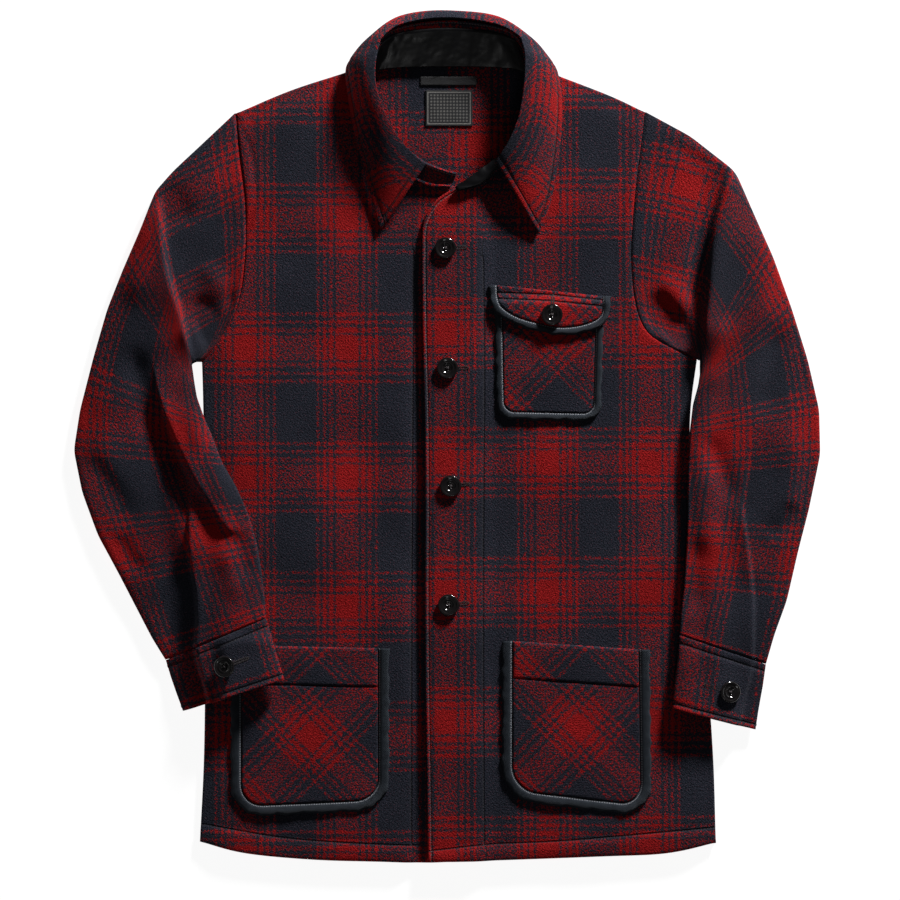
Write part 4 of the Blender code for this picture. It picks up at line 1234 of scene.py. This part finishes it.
# %% Worked buttonholes
BUTTONHOLES = [
    ("buttonhole_1", (-1, 182), (17, 183), "front_left"),
    ("buttonhole_2", (1, 67), (19, 67.5), "front_left"),
    ("buttonhole_3", (4, -46), (20, -44), "front_left"),
    ("buttonhole_4", (2, -160), (19, -158), "front_left"),
    ("buttonhole_flap", (100, 119), (101, 136), "flap"),
    ("buttonhole_cuff_right", (-212, -218), (-191, -210), "cuff_right"),
    ("buttonhole_cuff_left", (270, -243), (247, -236), "cuff_left"),
]
STITCH_PITCH = 0.75
STITCH_LENGTH = 1.5
STITCH_HALF = 0.27
SLIT_HALF = 0.35


def worked_hole(name, start, end, carrier):
    """Crosswise stitches round a slit from start to end, on the carrier's cloth."""
    tree = surface(carrier)
    a, b = np.array(start, float), np.array(end, float)
    size = np.linalg.norm(b - a)
    way = (b - a) / size
    side = np.array([-way[1], way[0]])
    spots = []
    for k in range(int(size / STITCH_PITCH) + 1):
        point = a + way * k * STITCH_PITCH
        spots += [(point + side * SLIT_HALF, side), (point - side * SLIT_HALF, -side)]
    for turn in np.linspace(-1.2, 1.2, 7):
        out = way * math.cos(turn) + side * math.sin(turn)
        spots.append((b + out * SLIT_HALF, out))
    mesh = bmesh.new()
    for spot, out in spots:
        tip = spot + out * STITCH_LENGTH
        across = np.array([-out[1], out[0]]) * STITCH_HALF
        rings = []
        for p in (spot, tip):
            z = height_over(tree, *p) - 0.25
            ring = [Vector((*(p - across), z)), Vector((*p, z + 0.75)),
                    Vector((*(p + across), z)), Vector((*p, z - 0.3))]
            rings.append([mesh.verts.new((q - Vector(MIDDLE)) * MM) for q in ring])
        skinned(mesh, rings)
    pieces[name] = object_of(name, mesh)


for hole in BUTTONHOLES:
    worked_hole(*hole)
print("buttonholes:", len(BUTTONHOLES))

# %% [markdown]
# ## The shadow plaid
#
# The plaid is woven, not printed: coloured yarns run both ways, and where a red warp crosses a red
# weft the cloth is full red, where it crosses charcoal the two mix. Thin lines on both sides of each
# red block fade it into the charcoal one. The group below looks up the warp and the weft colour at
# a point, then lets a twill weave with a noisy nap choose which of them is on top.

# %% Helpers for materials
def new_group(name, inputs, outputs):
    group = bpy.data.node_groups.new(name, "ShaderNodeTree")
    for label, kind in inputs:
        group.interface.new_socket(label, in_out="INPUT", socket_type="NodeSocket" + kind)
    for label, kind in outputs:
        group.interface.new_socket(label, in_out="OUTPUT", socket_type="NodeSocket" + kind)
    return group, group.nodes.new("NodeGroupInput"), group.nodes.new("NodeGroupOutput")


class Net:
    """Adds nodes to a tree. Values may be numbers, colours or other nodes' outputs."""

    def __init__(self, tree):
        self.tree = tree

    def feed(self, node, values):
        """Sets or links the inputs of a node."""
        for key, value in dict(values).items():
            if isinstance(value, bpy.types.NodeSocket):
                self.tree.links.new(value, node.inputs[key])
            else:
                node.inputs[key].default_value = value

    def add(self, kind, values=(), **settings):
        node = self.tree.nodes.new("ShaderNode" + kind)
        for key, value in settings.items():
            setattr(node, key, value)
        self.feed(node, values)
        return node

    def math(self, operation, a, b=0.0, c=0.0):
        return self.add("Math", {0: a, 1: b, 2: c}, operation=operation).outputs[0]

    def plus(self, a, b):
        return self.math("ADD", a, b)

    def minus(self, a, b):
        return self.math("SUBTRACT", a, b)

    def times(self, a, b):
        return self.math("MULTIPLY", a, b)

    def wave(self, value, pitch):
        """A sine wave along a value, with its pitch in metres."""
        return self.math("SINE", self.times(value, math.tau / pitch))

    def split(self, vector):
        """The x and y of a vector."""
        parts = self.add("SeparateXYZ", {0: vector})
        return parts.outputs[0], parts.outputs[1]

    def grain(self):
        """The place on the uncut cloth."""
        return self.add("UVMap", uv_map="grain").outputs[0]

    def noise(self, vector, scale, detail=2.0, rough=0.5):
        node = self.add("TexNoise", {"Vector": vector, "Scale": scale, "Detail": detail,
                                     "Roughness": rough})
        return node.outputs[0]

    def remap(self, value, low, high, to_low=0.0, to_high=1.0):
        node = self.add("MapRange", {0: value, 1: low, 2: high, 3: to_low, 4: to_high})
        return node.outputs[0]

    def mixed(self, factor, a, b, blend="MIX"):
        node = self.add("Mix", {0: factor, 6: a, 7: b}, data_type="RGBA", blend_type=blend)
        return node.outputs[2]

    def bump(self, shader, height, strength, distance):
        node = self.add("Bump", {"Height": height, "Strength": strength, "Distance": distance})
        self.feed(shader, {"Normal": node.outputs[0]})


def stripes(net, value, repeat, lines):
    """1 on red yarns and 0 on charcoal ones. lines are red from and to, in the repeat's pixels."""
    place = net.math("FRACT", net.math("DIVIDE", value, repeat[0]))
    node = net.add("ValToRGB", {0: place})
    ramp = node.color_ramp
    ramp.interpolation = "CONSTANT"
    ramp.elements[0].color = (0, 0, 0, 1)
    ramp.elements[0].position = 0.0
    ramp.elements.remove(ramp.elements[1])
    for low, high in lines:
        ramp.elements.new(low / repeat[1]).color = (1, 1, 1, 1)
        ramp.elements.new(high / repeat[1]).color = (0, 0, 0, 1)
    return node.outputs[0]


# %% Plaid group
WARP_REPEAT = (0.0980, 102)
WARP_RED = [(20.5, 23), (27, 30), (33, 37), (39.5, 62.5), (65, 69), (72, 75), (79, 81.5)]
WEFT_REPEAT = (0.1243, 129)
WEFT_RED = [(29.5, 32.5), (37.5, 40.5), (44.5, 49.5), (52, 77), (79.5, 84.5), (88.5, 91.5),
            (96.5, 99.5)]
RED = (0.34, 0.013, 0.014, 1)
CHARCOAL = (0.025, 0.028, 0.040, 1)
TWILL_PITCH = 0.0024
TWILL_ALONG = 1.414 * TWILL_PITCH
FUZZ_SCALE = 430.0
FUZZ_REACH = 0.0064
SPECK_SCALE = 460.0
LOT_SCALE = 900.0
NAP_SCALE = 760.0
CLOUD_SCALE = 14.0
MIXED_LOSS = -0.26
NAP_SHARE = 0.95

plaid, inside_plaid, out_plaid = new_group(
    "shadow_plaid", [("Grain", "Vector")], [("Color", "Color"), ("Height", "Float")])
net = Net(plaid)
grain_in = inside_plaid.outputs["Grain"]
fuzz = net.add("TexNoise", {"Vector": grain_in, "Scale": FUZZ_SCALE, "Detail": 2.0})
shaken = net.add("VectorMath", {0: fuzz.outputs["Color"], 1: (0.5, 0.5, 0.5)}, operation="SUBTRACT")
scaled = net.add("VectorMath", {0: shaken.outputs[0], 3: FUZZ_REACH}, operation="SCALE")
moved = net.add("VectorMath", {0: grain_in, 1: scaled.outputs[0]}, operation="ADD")
along_warp, along_weft = net.split(moved.outputs[0])
warp = stripes(net, along_warp, WARP_REPEAT, WARP_RED)
weft = stripes(net, along_weft, WEFT_REPEAT, WEFT_RED)
twill = net.wave(net.plus(along_warp, along_weft), TWILL_ALONG)
speck = net.noise(grain_in, SPECK_SCALE, 2.0, 0.6)
lot = net.noise(grain_in, LOT_SCALE, 1.0, 0.5)
chosen = net.math("MULTIPLY_ADD", twill, 0.05, net.math("MULTIPLY_ADD", lot, 0.4, speck))
on_top = net.remap(chosen, 0.63, 0.77)
crossed = net.plus(net.times(warp, on_top), net.times(weft, net.minus(1.0, on_top)))
half_red = net.math("ABSOLUTE", net.minus(warp, weft))
crossed = net.math("MULTIPLY_ADD", half_red, MIXED_LOSS, crossed)
nap = net.noise(grain_in, NAP_SCALE, 3.0, 0.7)
napped = net.math("MULTIPLY_ADD", net.minus(nap, 0.5), NAP_SHARE, crossed)
dyed = net.mixed(net.remap(napped, 0.08, 0.92), CHARCOAL, RED)
light = net.remap(nap, 0.3, 0.7, 0.25, 1.75)
cloudy = net.remap(net.noise(grain_in, CLOUD_SCALE, 2.0), 0.3, 0.7, 0.88, 1.12)
shade = net.times(light, cloudy)
shade_colour = net.add("CombineColor", {0: shade, 1: shade, 2: shade}).outputs[0]
net.feed(out_plaid, {
    "Color": net.mixed(1.0, dyed, shade_colour, "MULTIPLY"),
    "Height": net.plus(net.times(twill, 0.12), net.plus(nap, net.times(speck, 0.8)))})
print("plaid nodes:", len(plaid.nodes))

# %% [markdown]
# A sewn line pulls the cloth down into a groove, and its thread shows as short dashes. The second
# group draws both from the distance and the run that were stored on the cloth's points. The wool
# material also darkens each groove with painted shade.

# %% Sewn line group
GROOVE_HALF = 0.0016
THREAD_OUTER = 0.00062
THREAD_INNER = 0.0004
DASH_SHARE = 0.66

sewn, inside_sewn, out_sewn = new_group(
    "sewn_line", [("Line", "Vector"), ("Pitch", "Float")], [("Groove", "Float"), ("Thread", "Float")])
net = Net(sewn)
distance, run = net.split(inside_sewn.outputs["Line"])
away = net.math("ABSOLUTE", distance)
dash = net.math("FRACT", net.math("DIVIDE", run, inside_sewn.outputs["Pitch"]))
on_dash = net.math("LESS_THAN", dash, DASH_SHARE)
net.feed(out_sewn, {
    "Groove": net.remap(away, GROOVE_HALF, 0.0, 0.0, 1.0),
    "Thread": net.times(net.remap(away, THREAD_OUTER, THREAD_INNER, 0.0, 1.0), on_dash)})


def sewn_lines(net, names, pitch):
    """The strongest groove and thread of several stored lines."""
    groove_all, thread_all = 0.0, 0.0
    for name in names:
        line = net.add("Attribute", attribute_name=name)
        node = net.add("Group", {"Line": line.outputs["Vector"], "Pitch": pitch}, node_tree=sewn)
        groove_all = net.math("MAXIMUM", groove_all, node.outputs["Groove"])
        thread_all = net.math("MAXIMUM", thread_all, node.outputs["Thread"])
    return groove_all, thread_all


# %% Wool
THREAD_DARK = (0.055, 0.055, 0.065, 1)
THREAD_PALE = (0.22, 0.17, 0.18, 1)
# Near-black painted shade for the sewn grooves
GROOVE_PAINTED_SHADE = (0.008, 0.006, 0.008, 1)


def new_material(name):
    made = bpy.data.materials.new(name)
    made.use_nodes = True
    return made, Net(made.node_tree), made.node_tree.nodes["Principled BSDF"]


wool, net, shader = new_material("plaid_wool")
woven = net.add("Group", {"Grain": net.grain()}, node_tree=plaid)
groove_all, thread_all = sewn_lines(net, LINE_NAMES[:2], 0.0030)
# Painted shade: the groove mask darkens the plaid towards near-black in every sewn groove.
colour = net.mixed(net.times(groove_all, 0.55), woven.outputs["Color"], GROOVE_PAINTED_SHADE)
colour = net.mixed(net.times(thread_all, 0.8), colour, THREAD_DARK)
pale_groove, pale_thread = sewn_lines(net, LINE_NAMES[2:], 0.0028)
colour = net.mixed(net.times(pale_thread, 0.7), colour, THREAD_PALE)
groove_all = net.math("MAXIMUM", groove_all, pale_groove)
net.feed(shader, {"Base Color": colour, "Roughness": 0.95, "Specular IOR Level": 0.04,
                  "Sheen Weight": 0.04, "Sheen Roughness": 0.45})
net.bump(shader, net.minus(woven.outputs["Height"], net.times(groove_all, 1.5)), 0.9, 0.0011)

# %% [markdown]
# ## Tape, satin, horn, thread and label cloth
#
# Twill tape has fine diagonal ribs and a slight shine along its roll. Satin is dark and smooth.
# The buttons are polished, with a clear coat, and the threads are matt.

# %% Twill tape
TAPE_DARK = (0.022, 0.028, 0.038, 1)
TAPE_WORN = (0.040, 0.050, 0.063, 1)
TAPE_SPECK = (0.016, 0.020, 0.028, 1)
TAPE_THREAD = (0.26, 0.27, 0.30, 1)
RIB_PITCH = 0.0017

tape, net, shader = new_material("twill_tape")
grain = net.grain()
ribs = net.wave(net.plus(*net.split(grain)), RIB_PITCH)
worn = net.noise(grain, 160.0, 3.0)
fine = net.noise(grain, 1400.0, 2.0)
groove_all, thread_all = sewn_lines(net, LINE_NAMES[:1], 0.0024)
colour = net.mixed(net.remap(worn, 0.3, 0.7), TAPE_DARK, TAPE_WORN)
colour = net.mixed(net.remap(fine, 0.35, 0.65, 0.0, 0.45), colour, TAPE_SPECK)
net.feed(shader, {"Base Color": net.mixed(thread_all, colour, TAPE_THREAD), "Roughness": 0.75,
                  "Specular IOR Level": 0.22})
net.bump(shader, net.minus(net.math("MULTIPLY_ADD", ribs, 0.6, fine), groove_all), 0.9, 0.0006)

# %% Satin, horn and thread
satin, net, shader = new_material("black_satin")
grain = net.grain()
shine = net.remap(net.noise(grain, 90.0, 3.0), 0.3, 0.7, 0.24, 0.38)
net.feed(shader, {"Base Color": (0.005, 0.005, 0.006, 1), "Specular IOR Level": 0.32,
                  "Roughness": shine})
net.bump(shader, net.noise(grain, 48.0, 2.0), 0.35, 0.0040)

horn, net, shader = new_material("polished_horn")
spot = net.add("TexCoord").outputs["Object"]
veins = net.mixed(net.noise(spot, 300.0, 4.0), (0.004, 0.004, 0.005, 1), (0.014, 0.011, 0.011, 1))
net.feed(shader, {"Base Color": veins, "Roughness": 0.16, "Coat Weight": 0.6,
                  "Coat Roughness": 0.08})
net.bump(shader, net.noise(spot, 500.0, 2.0), 0.08, 0.0003)

thread_dark, net, shader = new_material("dark_thread")
twist = net.noise(net.add("TexCoord").outputs["Object"], 2600.0, 2.0)
strand = net.mixed(twist, (0.035, 0.030, 0.032, 1), (0.13, 0.11, 0.115, 1))
net.feed(shader, {"Base Color": strand, "Roughness": 0.8})
net.bump(shader, twist, 0.5, 0.0002)

# %% Label cloth, bare and with a frame and a lattice
LABEL_YARN = 0.0006
PATCH_HALF = (0.0225, 0.01725)
FRAME_FROM, FRAME_TO = 0.0016, 0.0026
LATTICE_FROM = 0.0042
LATTICE_PITCH = 0.0062

label, net, shader = new_material("label_cloth")
across, along = net.split(net.grain())
weave = net.times(net.wave(along, LABEL_YARN), net.wave(across, LABEL_YARN))
colour = net.mixed(net.remap(weave, -1, 1), (0.004, 0.004, 0.005, 1), (0.018, 0.018, 0.020, 1))
net.feed(shader, {"Base Color": colour, "Roughness": 0.6})
net.bump(shader, weave, 0.3, 0.0002)

patch_cloth, net, shader = new_material("patch_cloth")
grain = net.grain()
across, along = net.split(grain)
to_frame = net.math("MINIMUM", net.minus(PATCH_HALF[0], net.math("ABSOLUTE", across)),
                    net.minus(PATCH_HALF[1], net.math("ABSOLUTE", along)))
frame_line = net.times(net.math("GREATER_THAN", to_frame, FRAME_FROM),
                       net.math("LESS_THAN", to_frame, FRAME_TO))
dots = net.times(net.wave(net.plus(across, along), LATTICE_PITCH),
                 net.wave(net.minus(across, along), LATTICE_PITCH))
lattice = net.times(net.math("GREATER_THAN", dots, 0.22),
                    net.math("GREATER_THAN", to_frame, LATTICE_FROM))
drawn_mask = net.math("MAXIMUM", frame_line, net.times(lattice, 0.6))
fine = net.noise(grain, 1500.0, 2.0)
worn_mask = net.times(drawn_mask, net.remap(fine, 0.3, 0.7, 0.35, 1.0))
colour = net.mixed(worn_mask, (0.012, 0.012, 0.014, 1), (0.30, 0.29, 0.27, 1))
net.feed(shader, {"Base Color": colour, "Roughness": 0.75})
net.bump(shader, fine, 0.3, 0.0002)
print("materials:", len(bpy.data.materials))

# %% [markdown]
# ## Dress the part
#
# Each piece now takes its material, hangs from the root and hides the solid that it replaces. For
# cloth, the area of one side of the made piece is printed beside the area of its cut. Few pieces are
# cut as rectangles, so the area of each is taken from its own made surface.

# %% Finishes, slots and cut sizes
#   piece, material, slot, cut width and length in metres, what it lies on
SHEETS = [
    ("back", wool, "wool_red", (0.52, 0.80), []),
    ("front_right", wool, "wool_red", (0.31, 0.80), ["back"]),
    ("front_left", wool, "wool_red", (0.34, 0.80), ["back", "front_right"]),
    ("sleeve_left", wool, "wool_red", (0.36, 0.66), ["front_left"]),
    ("sleeve_right", wool, "wool_red", (0.36, 0.66), ["front_right"]),
    ("cuff_left", wool, "wool_red", (0.25, 0.085), ["front_left"]),
    ("cuff_right", wool, "wool_red", (0.27, 0.085), ["hip_pocket_right"]),
    ("collar_stand", wool, "wool_dark", (0.47, 0.050), ["back"]),
    ("collar_leaf", wool, "wool_red", (0.56, 0.095), ["front_left", "front_right"]),
    ("neck_lining", satin, "glossy_lining", (0.44, 0.040), ["collar_stand"]),
    ("hip_pocket_left", wool, "wool_red", (0.135, 0.130), ["front_left"]),
    ("hip_pocket_right", wool, "wool_red", (0.140, 0.130), ["front_right"]),
    ("hip_band_left", wool, "wool_dark", (0.128, 0.046), ["front_left"]),
    ("hip_band_right", wool, "wool_dark", (0.136, 0.042), ["front_right"]),
    ("hip_binding_left", tape, "twill_tape", (0.48, 0.016), ["front_left"]),
    ("hip_binding_right", tape, "twill_tape", (0.50, 0.016), ["front_right"]),
    ("chest_pocket", wool, "wool_red", (0.092, 0.108), ["front_left"]),
    ("chest_binding", tape, "twill_tape", (0.33, 0.013), ["front_left"]),
    ("flap", wool, "wool_red", (0.102, 0.042), ["chest_pocket"]),
    ("flap_binding", tape, "twill_tape", (0.20, 0.013), ["chest_pocket"]),
    ("label_tape", label, "label_cloth", (0.055, 0.010), ["back"]),
    ("label_patch", patch_cloth, "label_cloth", (0.046, 0.036), ["back"]),
]


def finish_piece(name, material):
    made = pieces[name]
    made.data.materials.clear()
    made.data.materials.append(material)
    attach(made, "root")
    return made


for name, material, slot, flat, rests in SHEETS:
    made = finish_piece(name, material)
    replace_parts(made, name)
    print(name, "one side", round(made["one_side"], 5), "cut", round(flat[0] * flat[1], 5), "m2")
for name, x, y, carrier in BUTTONS:
    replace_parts(finish_piece(name, horn), name)
    finish_piece(name + "_thread", thread_dark)
for hole in BUTTONHOLES:
    finish_piece(hole[0], thread_dark)

# %% [markdown]
# ## Stage, light and camera
#
# The picture was taken from straight above, with a low light from beyond the wearer's left
# shoulder. A big soft lamp stands in for it, with a weak one opposite so that the shadows keep
# some detail, and a small one by the hem that puts a glint on the buttons.

# %% Floor
bpy.ops.object.select_all(action="DESELECT")
bpy.ops.mesh.primitive_plane_add(size=6.0, location=(0, 0, -0.0004))
floor = bpy.context.object
floor.name = "floor"
floor_paint, net, shader = new_material("pale_floor")
net.feed(shader, {"Base Color": (0.3, 0.3, 0.3, 1), "Roughness": 0.9,
                  "Emission Color": (1, 1, 1, 1), "Emission Strength": 0.92})
floor.data.materials.append(floor_paint)

# %% Lamps and camera
#   name, turn and rise in degrees, distance, size, power
LAMPS = [
    ("key_lamp", 62, 17, 3.2, 0.45, 158),
    ("fill_lamp", 242, 60, 3.0, 2.5, 1.5),
    ("glint_lamp", -80, 52, 3.0, 0.5, 2.4),
]
WORLD_LIGHT = 0.035
CAMERA_HEIGHT = 3.0
PICTURE_WIDTH = 0.864
PICTURE_CENTRE = (0.0029, -0.0123)
PICTURE_PLANE = 0.008


def soft_lamp(name, turn, rise, distance, size, power):
    data = bpy.data.lights.new(name, "AREA")
    data.energy = power
    data.size = size
    made = bpy.data.objects.new(name, data)
    bpy.context.scene.collection.objects.link(made)
    turn, rise = math.radians(turn), math.radians(rise)
    flat = math.cos(rise)
    place = Vector((math.cos(turn) * flat, math.sin(turn) * flat, math.sin(rise)))
    made.location = place * distance
    made.rotation_mode = "QUATERNION"
    made.rotation_quaternion = place.to_track_quat("Z", "Y")
    return made


for lamp in LAMPS:
    soft_lamp(*lamp)

world = bpy.data.worlds.new("studio")
bpy.context.scene.world = world
world.use_nodes = True
sky = world.node_tree.nodes["Background"]
sky.inputs[0].default_value = (1, 1, 1, 1)
sky.inputs[1].default_value = WORLD_LIGHT

lens = bpy.data.cameras.new("above")
lens.sensor_width = 36.0
lens.lens = 36.0 * (CAMERA_HEIGHT - PICTURE_PLANE) / PICTURE_WIDTH
camera = bpy.data.objects.new("above", lens)
camera.location = (*PICTURE_CENTRE, CAMERA_HEIGHT)
bpy.context.scene.collection.objects.link(camera)
bpy.context.scene.camera = camera
bpy.context.scene.view_settings.view_transform = "Standard"
